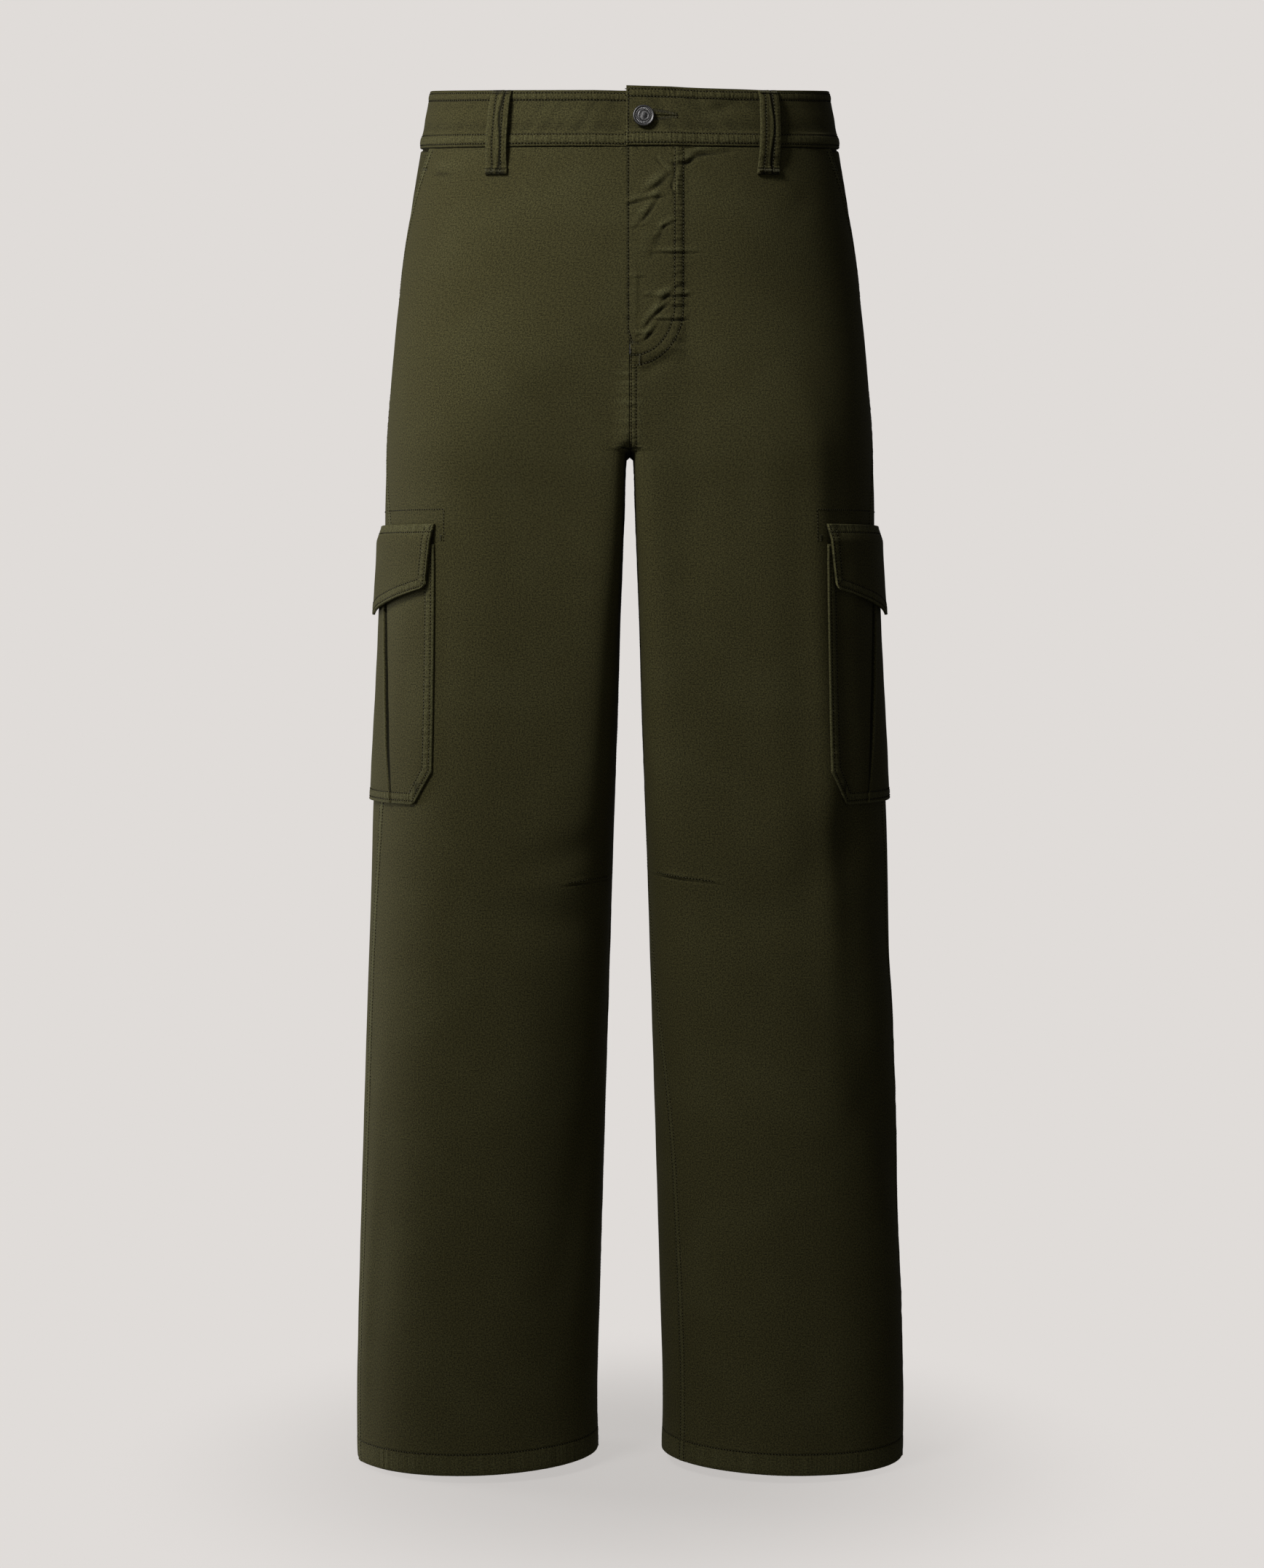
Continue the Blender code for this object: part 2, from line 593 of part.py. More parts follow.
def add_cargo_flap(name, side):
    """The flap: sewn level along its top, pointed below, and standing off the pocket."""
    half = np.append(np.linspace(0.0, FLAP_HALF - FLAP_CORNER, FLAP_COLUMNS + 1), FLAP_HALF)
    across = np.concatenate([-half[:0:-1], half])
    slope = (FLAP_POINT_HEIGHT - FLAP_EDGE_HEIGHT) / FLAP_HALF
    height = FLAP_POINT_HEIGHT - slope * np.abs(across)
    height = height - FLAP_CORNER * (np.abs(across) > FLAP_HALF - EDGE_ROUND)
    grid_out, grid_in = [], []
    for down in FLAP_ROWS:
        drops = FLAP_TOP + height * down
        turns = POCKET_TURN + across * (1.0 - FLAP_TAPER / FLAP_HALF * down) / MM_PER_TURN
        inner = POCKET_CLEAR + FLAP_FLARE * height * down
        inner = inner + FLAP_OVER_POCKET * ease((drops - FLAP_TOP) / FLAP_OVER_RUN)
        edge = EDGE_ROUND if down in (0.0, 1.0) else 0.0
        grid_out.append(cloth(side, drops, turns, inner + FLAP_CLOTH - edge))
        grid_in.append(cloth(side, drops, turns, inner))
    return add_wall(name, side, np.array(grid_out), np.array(grid_in))


def add_belt_loop(loop):
    """A belt loop: a strip over the waistband, sewn at its top and at its doubled foot."""
    drops = np.array([point.drop for point in LOOP_PATH])
    inner = np.array([point.out for point in LOOP_PATH])
    middle = np.array((BAND_HEIGHT / 2.0,))
    turn = turn_at(middle, loop.from_centre, loop.over_front)[0]
    per_mm = degrees(loop.side, middle, turn, 1.0)[0]
    foot = np.where(drops >= LOOP_FOOT_DROP, 1.0, 0.0)
    half = LOOP_WIDTH / 2.0 * (1.0 + (LOOP_FOOT_SPREAD - 1.0) * foot[:, None])
    leaning = loop.lean * (drops[:, None] - middle)
    turns = turn + per_mm * (leaning + np.array((-1.0, 0.0, 1.0)) * half)
    thickness = LOOP_CLOTH + LOOP_FOOT_EXTRA * foot
    drops = np.repeat(drops[:, None], 3, axis=1)
    inner_face = cloth(loop.side, drops, turns, inner[:, None])
    outer_face = cloth(loop.side, drops, turns, (inner + thickness)[:, None])
    return add_wall(loop.name, loop.side, outer_face, inner_face)


def add_button(name):
    """The metal button on the left end of the waistband."""
    turn = turn_at(np.array((BUTTON_DROP,)), BUTTON_FROM_CENTRE, True)[0]
    normal, _ = face_normal(1, np.array(BUTTON_DROP), np.array(turn))
    base = cloth(1, BUTTON_DROP, turn, BAND_PROFILE[4].out + BAND_LAP_RAISE + LOOSE_GAP)
    aside = np.cross((0.0, 0.0, 1.0), normal)
    aside = aside / np.linalg.norm(aside)
    upright = np.cross(normal, aside)
    points, faces = [], []
    for radius, height in BUTTON_PROFILE:
        for step in range(BUTTON_SIDES):
            angle = 2.0 * math.pi * step / BUTTON_SIDES
            spoke = aside * math.cos(angle) + upright * math.sin(angle)
            points.append(base + spoke * radius + normal * height)
    last = (len(BUTTON_PROFILE) - 1) * BUTTON_SIDES
    for ring in range(len(BUTTON_PROFILE) - 1):
        for step in range(BUTTON_SIDES):
            a = ring * BUTTON_SIDES + step
            b = ring * BUTTON_SIDES + (step + 1) % BUTTON_SIDES
            faces.append((a, b, b + BUTTON_SIDES, a + BUTTON_SIDES))
    faces.append(tuple(reversed(range(BUTTON_SIDES))))
    faces.append(tuple(last + step for step in range(BUTTON_SIDES)))
    return add_object(name, np.array(points), faces, GUNMETAL, metallic=1.0, roughness=0.4)


def main():
    for item in list(bpy.data.objects):
        bpy.data.objects.remove(item, do_unlink=True)
    for side, word in ((1, "left"), (-1, "right")):
        add_panel(f"front_{word}", side, True)
        add_panel(f"back_{word}", side, False)
        add_waistband(f"waistband_{word}", side)
        add_facing(f"pocket_facing_{word}", side)
        add_cargo_pocket(f"cargo_pocket_{word}", side)
        add_cargo_flap(f"cargo_flap_{word}", side)
    for loop in LOOPS:
        add_belt_loop(loop)
    add_button("waist_button")


main()
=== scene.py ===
# %% [markdown]
# # Wide-leg cargo trousers in olive twill
# The garment is worn and empty: a hollow tube for each leg, joined above the crotch and held
# open at the waist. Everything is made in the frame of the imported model, in metres, so each
# cloth piece can take the place of its plain solid without being fitted.

# %% Load the frame
import math
from collections import namedtuple

import bpy
import numpy as np
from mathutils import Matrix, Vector
from mathutils.bvhtree import BVHTree
from mathutils.kdtree import KDTree


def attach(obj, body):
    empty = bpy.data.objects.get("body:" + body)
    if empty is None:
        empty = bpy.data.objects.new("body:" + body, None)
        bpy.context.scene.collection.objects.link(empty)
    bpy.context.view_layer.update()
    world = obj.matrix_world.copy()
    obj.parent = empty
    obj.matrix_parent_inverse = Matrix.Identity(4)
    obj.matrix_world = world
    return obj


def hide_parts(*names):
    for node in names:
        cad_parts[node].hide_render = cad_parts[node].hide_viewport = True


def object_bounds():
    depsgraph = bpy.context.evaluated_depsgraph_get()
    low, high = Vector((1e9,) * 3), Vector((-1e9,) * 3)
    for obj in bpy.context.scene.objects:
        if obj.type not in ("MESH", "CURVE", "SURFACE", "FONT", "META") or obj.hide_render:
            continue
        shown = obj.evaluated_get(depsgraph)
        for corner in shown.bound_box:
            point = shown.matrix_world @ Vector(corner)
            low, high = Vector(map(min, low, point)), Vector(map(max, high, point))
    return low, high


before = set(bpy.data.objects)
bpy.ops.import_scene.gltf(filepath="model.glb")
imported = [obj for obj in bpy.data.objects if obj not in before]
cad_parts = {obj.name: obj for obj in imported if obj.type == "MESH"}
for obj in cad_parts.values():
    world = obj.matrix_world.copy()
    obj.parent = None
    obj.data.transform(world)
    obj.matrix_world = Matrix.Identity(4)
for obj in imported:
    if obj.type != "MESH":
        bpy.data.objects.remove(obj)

CAD_BOX = [list(map(float, corner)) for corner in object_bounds()]
MM = 0.001
BODY = "root"

# %% [markdown]
# ## Camera
# A garment is usually shown from a few metres away through a long lens, which keeps its width
# true. The camera stands level with the thighs and looks down by a few degrees. Its sensor is
# measured along the frame's height, because the view is a tall one.

# %% Camera
CAMERA_PLACE = Vector((0.0017, -2.3, -0.3588))
CAMERA_PITCH = 3.65
LENS = 68.64
SENSOR = 36.0


def make_camera():
    """The camera at the garment's front."""
    data = bpy.data.cameras.new("front_camera")
    data.sensor_fit = "VERTICAL"
    data.sensor_height = SENSOR
    data.lens = LENS
    data.clip_end = 50.0
    camera = bpy.data.objects.new("front_camera", data)
    camera.location = CAMERA_PLACE
    camera.rotation_euler = (math.radians(90.0 - CAMERA_PITCH), 0.0, 0.0)
    bpy.context.scene.collection.objects.link(camera)
    bpy.context.scene.camera = camera
    return camera


camera = make_camera()
print("camera lens:", camera.data.lens, "mm")

# %% [markdown]
# ## Small helpers for nodes and colours
# A colour is picked as an sRGB hex value, the way it looks on a screen, but a shader adds light
# in linear values. One function turns the first into the second. Another adds a node with its
# settings and its links, so that a node tree reads as a list of steps.

# %% Helpers for nodes and colours


def linear(code, alpha=1.0):
    """An sRGB hex colour as linear red, green, blue and alpha."""
    parts = [int(code[start:start + 2], 16) / 255.0 for start in (1, 3, 5)]
    parts = [part / 12.92 if part <= 0.04045 else ((part + 0.055) / 1.055) ** 2.4 for part in parts]
    return (*parts, alpha)


def add_node(tree, kind, inputs=None, **settings):
    """Adds a node: settings are its own fields, and an input is a value or another's output."""
    node = tree.nodes.new(kind)
    for name, value in settings.items():
        setattr(node, name, value)
    for key, value in (inputs or {}).items():
        if isinstance(value, bpy.types.NodeSocket):
            tree.links.new(value, node.inputs[key])
        else:
            node.inputs[key].default_value = value
    return node


print("linear olive:", [round(part, 4) for part in linear("#3a3a26")])

# %% [markdown]
# ## Light, backdrop and floor
# Dark cloth shows its shape when most of the light comes from one side. Here a small lamp stands
# near the upper left in front, and a larger one behind on the left skims the lower leg. Two broad
# glows of the world fill the rest, one from behind and one from the front, each strongest along
# its own direction. The camera sees a plain pale backdrop in their place. The floor is a disc just
# under the hems that thins out towards its rim, so it takes a soft shadow and shows no edge.

# %% Light and backdrop
BACKDROP = "#e0dcd9"
Lamp = namedtuple("Lamp", "name place aim width height power spread")
LAMPS = (
    Lamp("near_lamp", (-0.9, -1.1, 0.8), (-0.1, 0.0, -0.1), 0.5, 0.5, 3.14, 70.0),
    Lamp("low_side_lamp", (-2.2, 0.7, -0.6), (-0.2, 0.0, -0.8), 0.8, 0.8, 3.46, 60.0),
)
Glow = namedtuple("Glow", "direction strength")
GLOWS = (
    Glow((-0.3, 0.954, 0.0), 0.235),
    Glow((-0.25, -0.968, 0.0), 0.155),
)


def make_world():
    """A pale world to look at, which lights the garment with the two glows instead."""
    world = bpy.data.worlds.new("pale_backdrop")
    world.use_nodes = True
    tree = world.node_tree
    tree.nodes.clear()
    way = add_node(tree, "ShaderNodeTexCoord")
    light = 0.0
    for glow in GLOWS:
        facing = add_node(tree, "ShaderNodeVectorMath", {
            0: way.outputs["Generated"], 1: glow.direction}, operation="DOT_PRODUCT")
        light = add_node(tree, "ShaderNodeMapRange", {
            "Value": facing.outputs["Value"], "From Min": 0.0, "From Max": 1.0,
            "To Min": light, "To Max": glow.strength}).outputs[0]
    path = add_node(tree, "ShaderNodeLightPath")
    seen = add_node(tree, "ShaderNodeBackground", {"Color": linear(BACKDROP), "Strength": 1.0})
    given = add_node(tree, "ShaderNodeBackground", {"Color": linear("#ffffff"), "Strength": light})
    mix = add_node(tree, "ShaderNodeMixShader", {
        0: path.outputs["Is Camera Ray"], 1: given.outputs[0], 2: seen.outputs[0]})
    add_node(tree, "ShaderNodeOutputWorld", {"Surface": mix.outputs[0]})
    bpy.context.scene.world = world
    bpy.context.scene.view_settings.view_transform = "Standard"


def make_lamp(lamp):
    """A rectangular soft light that faces the garment."""
    data = bpy.data.lights.new(lamp.name, "AREA")
    data.shape = "RECTANGLE"
    data.size, data.size_y = lamp.width, lamp.height
    data.energy = lamp.power
    data.spread = math.radians(lamp.spread)
    item = bpy.data.objects.new(lamp.name, data)
    item.location = lamp.place
    item.rotation_euler = (Vector(lamp.aim) - Vector(lamp.place)).to_track_quat("-Z", "Y").to_euler()
    bpy.context.scene.collection.objects.link(item)


make_world()
for lamp in LAMPS:
    make_lamp(lamp)
print("lamps:", [lamp.name for lamp in LAMPS], "and glows:", len(GLOWS))

# %% Floor
FLOOR_BELOW_HEM = 0.004
FLOOR_RADIUS = 0.42
FLOOR_CLEAR = 0.08
FLOOR_SHADE = 0.3
FLOOR_SIDES = 64


def make_floor(height):
    """A round floor just under the hems, which thins out towards its rim like paper into haze."""
    angles = [2.0 * math.pi * step / FLOOR_SIDES for step in range(FLOOR_SIDES)]
    corners = [(FLOOR_RADIUS * math.cos(angle), FLOOR_RADIUS * math.sin(angle), 0.0) for angle in angles]
    mesh = bpy.data.meshes.new("studio_floor")
    mesh.from_pydata(corners, [], [tuple(range(FLOOR_SIDES))])
    material = bpy.data.materials.new("pale_paper_floor")
    material.use_nodes = True
    tree = material.node_tree
    shader = tree.nodes["Principled BSDF"]
    shader.inputs["Base Color"].default_value = linear(BACKDROP)
    shader.inputs["Roughness"].default_value = 0.9
    place = add_node(tree, "ShaderNodeTexCoord")
    reach = add_node(tree, "ShaderNodeVectorMath", {0: place.outputs["Object"]}, operation="LENGTH")
    fade = add_node(tree, "ShaderNodeMapRange", {
        "Value": reach.outputs["Value"], "From Min": FLOOR_CLEAR, "From Max": FLOOR_RADIUS,
        "To Min": FLOOR_SHADE, "To Max": 0.0}, interpolation_type="SMOOTHSTEP")
    tree.links.new(fade.outputs[0], shader.inputs["Alpha"])
    mesh.materials.append(material)
    floor = bpy.data.objects.new("studio_floor", mesh)
    floor.location = (0.0, 0.0, height)
    bpy.context.scene.collection.objects.link(floor)


make_floor(CAD_BOX[0][2] - FLOOR_BELOW_HEM)
print("floor:", 2.0 * FLOOR_RADIUS, "m across")

# %% [markdown]
# ## Sizes of the garment
# These are the sizes the solids were made from, in millimetres. `drop` is the distance below the
# waistband's top edge, and `turn` the angle round one half: 0 on the outer side, 90 over the
# front, 180 on the inner leg and -90 over the back. `side` is 1 for the wearer's left half and
# -1 for the right one. A table of rings gives each half its width, its depth and how square its
# outer and inner sides are, and another one the space between the legs. The cloth is squarer
# along the inner leg than the plain solid, by the share PRESSED, as an ironed leg is.

# %% Sizes of the garment
SIDES = ((1, "left"), (-1, "right"))
OUTSEAM = 1049.0
CROTCH_DROP = 277.0
BAND_HEIGHT = 44.0
HEM_FOLD = 17.0
FRONT_RISE_CURVE = 140.0
BACK_RISE_CURVE = 160.0
CROTCH_SHARPNESS = 0.6
PLAIN_SQUARE = 2.25
BACK_SHARE = 0.35
PRESSED = 0.7
BRIDGE_RISE = 2.5
BRIDGE_TURN = 14.0
WAIST_TIP = 0.157
WAIST_TIP_FADE = 1.3
HEM_TIP = 0.027
HEM_TIP_START = 850.0
CLOTH = 1.5
HEM_CLOTH = 2.5
HEM_STEP = 1.5
GAP = 0.3
FLY_LAP = 2.5
FLY_UNDERLAP = 20.0
FLY_WIDTH = 33.0
FLY_EASE = 10.0
FLY_RAISE = 1.9
FLY_END = 200.0
FLY_FOOT = 12.0
FLY_ROOM = 0.2
SEAM_GAP = 0.05
FLY_FLAT = 2.0
UNDERLAP_END = 172.0
MM_PER_TURN = 1.73

Section = namedtuple("Section", "drop half_width front back square inner_square")
SECTIONS = (
    Section(0, 150.3, 103, 103, 2.25, 2.25),
    Section(22, 154.6, 105, 106, 2.25, 2.25),
    Section(47, 158.9, 107, 110, 2.25, 2.25),
    Section(91, 166.3, 110, 122, 2.25, 2.25),
    Section(135, 172.6, 111, 131, 2.25, 2.35),
    Section(179, 177.8, 111, 134, 2.25, 2.9),
    Section(223, 181.9, 109.5, 131, 2.2, 4.6),
    Section(277, 185.4, 106, 122, 2.1, 10.0),
    Section(311, 186.8, 102, 114, 2.05, 9.0),
    Section(356, 187.4, 99, 107, 2.0, 7.5),
    Section(400, 189.0, 96.5, 101, 2.0, 6.3),
    Section(467, 192.6, 92, 95, 2.0, 5.0),
    Section(546, 197.5, 87, 88, 2.0, 3.8),
    Section(602, 199.2, 84, 84, 2.0, 3.0),
    Section(692, 202.8, 80, 80, 2.0, 2.5),
    Section(783, 206.1, 77.5, 78, 2.0, 2.2),
    Section(874, 209.2, 75, 76.5, 2.0, 2.1),
    Section(965, 212.0, 73, 75, 2.0, 2.0),
    Section(1011, 212.9, 72, 74, 2.0, 2.0),
    Section(OUTSEAM, 212.4, 71, 73, 2.0, 2.0),
)

LegGap = namedtuple("LegGap", "drop half_gap")
LEG_GAPS = (
    LegGap(CROTCH_DROP, 2.6),
    LegGap(290, 3.3),
    LegGap(311, 3.9),
    LegGap(356, 5.6),
    LegGap(400, 7.3),
    LegGap(467, 9.2),
    LegGap(557, 12.4),
    LegGap(648, 15.2),
    LegGap(784, 19.4),
    LegGap(921, 23.4),
    LegGap(1014, 25.6),
    LegGap(OUTSEAM, 25.0),
)

Seam = namedtuple("Seam", "drop outer_right outer_left inner_right inner_left")
SEAMS = (
    Seam(BAND_HEIGHT, -11, -11, 180, 180),
    Seam(180, -9, -9, 180, 180),
    Seam(250, 2, 2, 180, 180),
    Seam(300, 14, 14, 180, 179),
    Seam(340, 22, 20, 180, 177),
    Seam(560, 22, 12, 183, 166),
    Seam(620, 18, 9, 184, 162),
    Seam(780, 16, 4, 186, 151),
    Seam(OUTSEAM, 14, 0, 186, 150),
)
print("rings:", len(SECTIONS), "outseam:", OUTSEAM, "mm")

# %% [markdown]
# ## Large folds and creases
# Large folds are the ones a body leaves in worn cloth, and the solids have them too. Creases are
# finer. Each row of the second table is one crease by its place in a front or back view: `x` from
# the centre line, `below` the middle of the waist opening, its length and half width, the angle of
# its line, its bend and its depth. A crease has a ridge beside it, as pinched cloth does, and the
# ridge of a sharp one stands higher and further off.

# %% Folds and creases
Fold = namedtuple("Fold", "side turn drop length width lean depth")
FOLDS = (
    Fold(-1, 110, 250, 100, 15, -34, -0.9),
    Fold(1, 106, 246, 110, 14, -38, -0.8),
    Fold(-1, 128, 575, 90, 14, 14, -2.2),
    Fold(-1, 120, 625, 120, 18, -6, -2.6),
    Fold(1, 96, 622, 130, 20, 8, -2.0),
    Fold(1, 40, 600, 170, 26, 48, -3.4),
    Fold(1, 30, 790, 200, 24, 62, -2.4),
    Fold(-1, 26, 930, 230, 11, 86, 1.8),
    Fold(-1, 132, 590, 560, 42, 90, -6.0),
    Fold(1, 62, 470, 380, 14, 90, 5.0),
    Fold(-1, 150, 800, 260, 22, 74, -2.0),
    Fold(1, 78, 940, 200, 22, 84, -1.8),
    Fold(-1, -122, 304, 100, 14, 24, -3.0),
    Fold(-1, -126, 342, 90, 16, 12, -2.8),
    Fold(1, -124, 298, 90, 13, 28, -2.6),
    Fold(1, -120, 336, 80, 17, 8, -3.0),
    Fold(-1, -92, 590, 150, 15, 6, -3.4),
    Fold(-1, -84, 632, 130, 17, -10, -3.0),
    Fold(1, -95, 584, 140, 16, -8, -3.0),
    Fold(1, -86, 628, 160, 15, 5, -3.6),
    Fold(1, -90, 676, 110, 17, -12, -2.2),
    Fold(-1, -78, 900, 220, 24, 82, -2.2),
    Fold(1, -104, 910, 210, 22, 98, -2.0),
)
FOLD_FADE = 15.0

Crease = namedtuple("Crease", "over_front x below length width lean bend depth")
CREASES = (
    Crease(True, 37.6, 69.8, 16, 1.01, 11, 0.6, 0.9),
    Crease(True, 46.5, 65.7, 16, 1.33, 36, -0.8, 0.9),
    Crease(True, 59.5, 61.7, 28, 1.56, 7, 0.6, 0.8),
    Crease(True, 35.8, 63.8, 10, 0.7, 9, 0.0, 0.6),
    Crease(True, 31.5, 64.9, 18, 0.7, -88, 0.5, 0.7),
    Crease(True, 31.2, 82.4, 16, 0.86, -99, 0.8, 1.2),
    Crease(True, 31.8, 90.2, 11, 0.7, -67, -0.5, 0.7),
    Crease(True, 23.8, 72.5, 17, 0.78, -50, 0.0, 0.8),
    Crease(True, 20.8, 85.3, 24, 1.33, 38, 1.0, 1.1),
    Crease(True, 11.2, 96.5, 28, 1.01, 13, -0.6, 1.0),
    Crease(True, 14.7, 104.6, 30, 1.17, 54, 1.2, 0.8),
    Crease(True, 23.5, 119.0, 11, 0.86, 63, 0.5, 0.6),
    Crease(True, 28.3, 114.0, 14, 0.78, 29, -0.5, 0.9),
    Crease(True, 18.4, 129.2, 20, 2.5, 67, 0.0, 0.5),
    Crease(True, 33.1, 134.6, 34, 0.7, 1, 0.3, 1.0),
    Crease(True, 5.3, 107.2, 11, 0.7, 0, 0.0, 0.4),
    Crease(True, 5.6, 116.4, 13, 0.7, 7, 0.0, 0.4),
    Crease(True, 4.8, 152.8, 13, 0.7, 7, 0.3, 0.5),
    Crease(True, 18.4, 166.7, 16, 0.94, -5, 0.0, 0.6),
    Crease(True, 27.2, 165.9, 16, 1.17, 39, -0.6, 1.2),
    Crease(True, 36.8, 165.5, 16, 0.7, 4, 0.3, 1.0),
    Crease(True, 35.0, 172.8, 12, 0.7, 0, 0.0, 0.6),
    Crease(True, 19.2, 178.8, 24, 1.01, 45, -0.9, 1.3),
    Crease(True, 30.4, 182.9, 23, 0.7, 1, 0.3, 1.1),
    Crease(True, 15.0, 193.3, 16, 0.94, 47, 0.6, 1.1),
    Crease(True, 9.6, 193.7, 12, 0.86, 10, 0.0, 0.7),
    Crease(True, 35.8, 149.4, 8, 0.7, 11, 0.0, 0.5),
    Crease(True, 35.8, 158.1, 10, 0.7, 26, 0.0, 0.5),
    Crease(True, 6.2, 168.0, 62, 0.7, 90, 0.0, 0.3),
    Crease(True, 22.4, 213.5, 39, 4.2, 34, 2.5, 0.9),
    Crease(True, 43.0, 288.0, 280, 16.0, -90, 0.0, 1.3),
    Crease(True, -135.0, 71.5, 26, 1.72, -12, 0.0, 0.6),
    Crease(True, 40.5, 594.6, 49, 0.7, -6, 0.0, 0.8),
    Crease(True, -28.0, 599.0, 36, 0.7, 5, 0.0, 0.8),
    Crease(True, 126.0, 97.0, 40, 9.0, 62, 3.0, 0.4),
    Crease(True, -136.0, 80.0, 32, 6.0, -30, 2.0, 0.5),
    Crease(True, 64.0, 30.0, 34, 4.2, 18, 1.5, 0.8),
    Crease(True, 34.0, 17.0, 26, 4.1, 26, 1.0, 0.7),
    Crease(True, 84.0, 26.0, 30, 4.1, -24, 1.5, 0.8),
    Crease(True, 158.0, 572.0, 110, 22.0, 48, 6.0, 2.2),
    Crease(True, 184.0, 762.0, 120, 14.0, 60, 6.0, 0.5),
    Crease(False, -60.0, 330.0, 70, 9.0, 22, 4.0, 1.4),
    Crease(False, 62.0, 322.0, 80, 9.0, -20, 4.0, 1.4),
    Crease(False, -112.0, 585.0, 90, 9.0, 8, 4.0, 1.5),
    Crease(False, 108.0, 592.0, 90, 9.0, -12, 4.0, 1.6),
    Crease(False, 96.0, 655.0, 70, 8.0, 10, 3.0, 1.2),
)
Ridge = namedtuple("Ridge", "height shift spread")
SOFT_RIDGE = Ridge(0.6, 1.7, 1.35)
SHARP_RIDGE = Ridge(0.78, 3.2, 2.6)
SHARP_WIDTH = 4.0
CREASE_UNEVEN = 0.25
CREASE_WAVES = 4.3
SIDE_FADE = 14.0
print("folds:", len(FOLDS), "creases:", len(CREASES))

# %% [markdown]
# ## The cloth's surface as a function
# Every piece lies on one surface, so a pocket or a belt loop can be made from the leg's own
# points, moved out. The cross-section is a rounded oval whose middle slides to the centre line
# above the crotch, where the two legs join. Points are then moved along the surface's normal.

# %% The cloth's surface


def ease(amount):
    """A soft step from 0 to 1."""
    amount = np.clip(amount, 0.0, 1.0)
    return amount * amount * (3.0 - 2.0 * amount)


def read(table, column, drop):
    """One column of a table at any drop, along a smooth curve through its rows."""
    places = np.array([row.drop for row in table], float)
    values = np.array([getattr(row, column) for row in table], float)
    slopes = np.gradient(values, places)
    drop = np.clip(drop, places[0], places[-1])
    row = np.clip(np.searchsorted(places, drop) - 1, 0, len(places) - 2)
    width = places[row + 1] - places[row]
    t = (drop - places[row]) / width
    return (values[row] * (1 + 2 * t) * (1 - t) ** 2 + slopes[row] * width * t * (1 - t) ** 2
            + values[row + 1] * t * t * (3 - 2 * t) + slopes[row + 1] * width * t * t * (t - 1))


def smooth_face(side, drop, turn):
    """A point on the cloth's outer face before its folds."""
    drop = np.asarray(drop, float)
    angle = np.radians(turn)
    across, around = np.cos(angle), np.sin(angle)
    over_outside, over_front = across > 0.0, around > 0.0
    rise = BACK_RISE_CURVE + (FRONT_RISE_CURVE - BACK_RISE_CURVE) * (0.5 + 0.5 * around)
    joined = ease((CROTCH_DROP - drop) / rise)
    wide = read(SECTIONS, "half_width", drop)
    gap = read(LEG_GAPS, "half_gap", drop)
    centre = (wide + gap) / 2.0 * (1.0 - joined)
    inner = gap - (wide + gap) * joined ** CROTCH_SHARPNESS
    inner_square = read(SECTIONS, "inner_square", drop)
    inner_square = inner_square + PRESSED * np.maximum(inner_square - PLAIN_SQUARE, 0.0)
    softer = PLAIN_SQUARE + BACK_SHARE * (inner_square - PLAIN_SQUARE)
    inner_square = np.where(over_front, inner_square, softer)
    square = np.where(over_outside, read(SECTIONS, "square", drop), inner_square)
    swell = (np.abs(across) ** square + np.abs(around) ** square) ** (-1.0 / square)
    aside = np.where(over_outside, wide - centre, centre - inner) * across * swell
    past_inner = np.degrees(np.arccos(np.clip(-across, -1.0, 1.0)))
    bridge = ease((CROTCH_DROP - drop) / BRIDGE_RISE) * np.exp(-(past_inner / BRIDGE_TURN) ** 2)
    x = centre + aside - bridge * np.maximum(inner - GAP / 2, 0.0)
    depth = np.where(over_front, read(SECTIONS, "front", drop), read(SECTIONS, "back", drop))
    y = -depth * around * swell
    tip = WAIST_TIP * np.clip(1.0 - drop / CROTCH_DROP, 0.0, 1.0) ** WAIST_TIP_FADE
    hem = HEM_TIP * ease((drop - HEM_TIP_START) / (OUTSEAM - HEM_TIP_START))
    z = BAND_HEIGHT / 2.0 - drop + tip * y - hem * aside
    return np.stack(np.broadcast_arrays(side * x, y, z), axis=-1)


print("front at the knee:", smooth_face(1, 602.0, 90.0).round(1), "mm")

# %% Folds and creases on the surface
NORMAL_STEP_DOWN = 0.5
NORMAL_STEP_TURN = 0.25
SHARP_CREASES = tuple(crease for crease in CREASES if crease.width < SHARP_WIDTH)


def fold_height(side, drop, turn, points):
    """How far the large folds lift the cloth, or sink it where negative."""
    turn = (np.asarray(turn, float) + 180.0) % 360.0 - 180.0
    height = np.zeros(np.broadcast(drop, turn).shape)
    for fold in FOLDS:
        if fold.side != side:
            continue
        lean = math.radians(fold.lean)
        across = (turn - fold.turn) * MM_PER_TURN
        up = fold.drop - np.asarray(drop, float)
        along = across * math.cos(lean) + up * math.sin(lean)
        off = up * math.cos(lean) - across * math.sin(lean)
        height = height + fold.depth * np.exp(-(off / fold.width) ** 2 - (2 * along / fold.length) ** 2)
    from_centre = side * points[..., 0]
    clear = (FLY_UNDERLAP + FLY_FLAT) * (1.0 - ease((drop - FLY_END - FLY_FOOT) / FLY_FOOT))
    return height * ease((from_centre - clear) / FOLD_FADE)


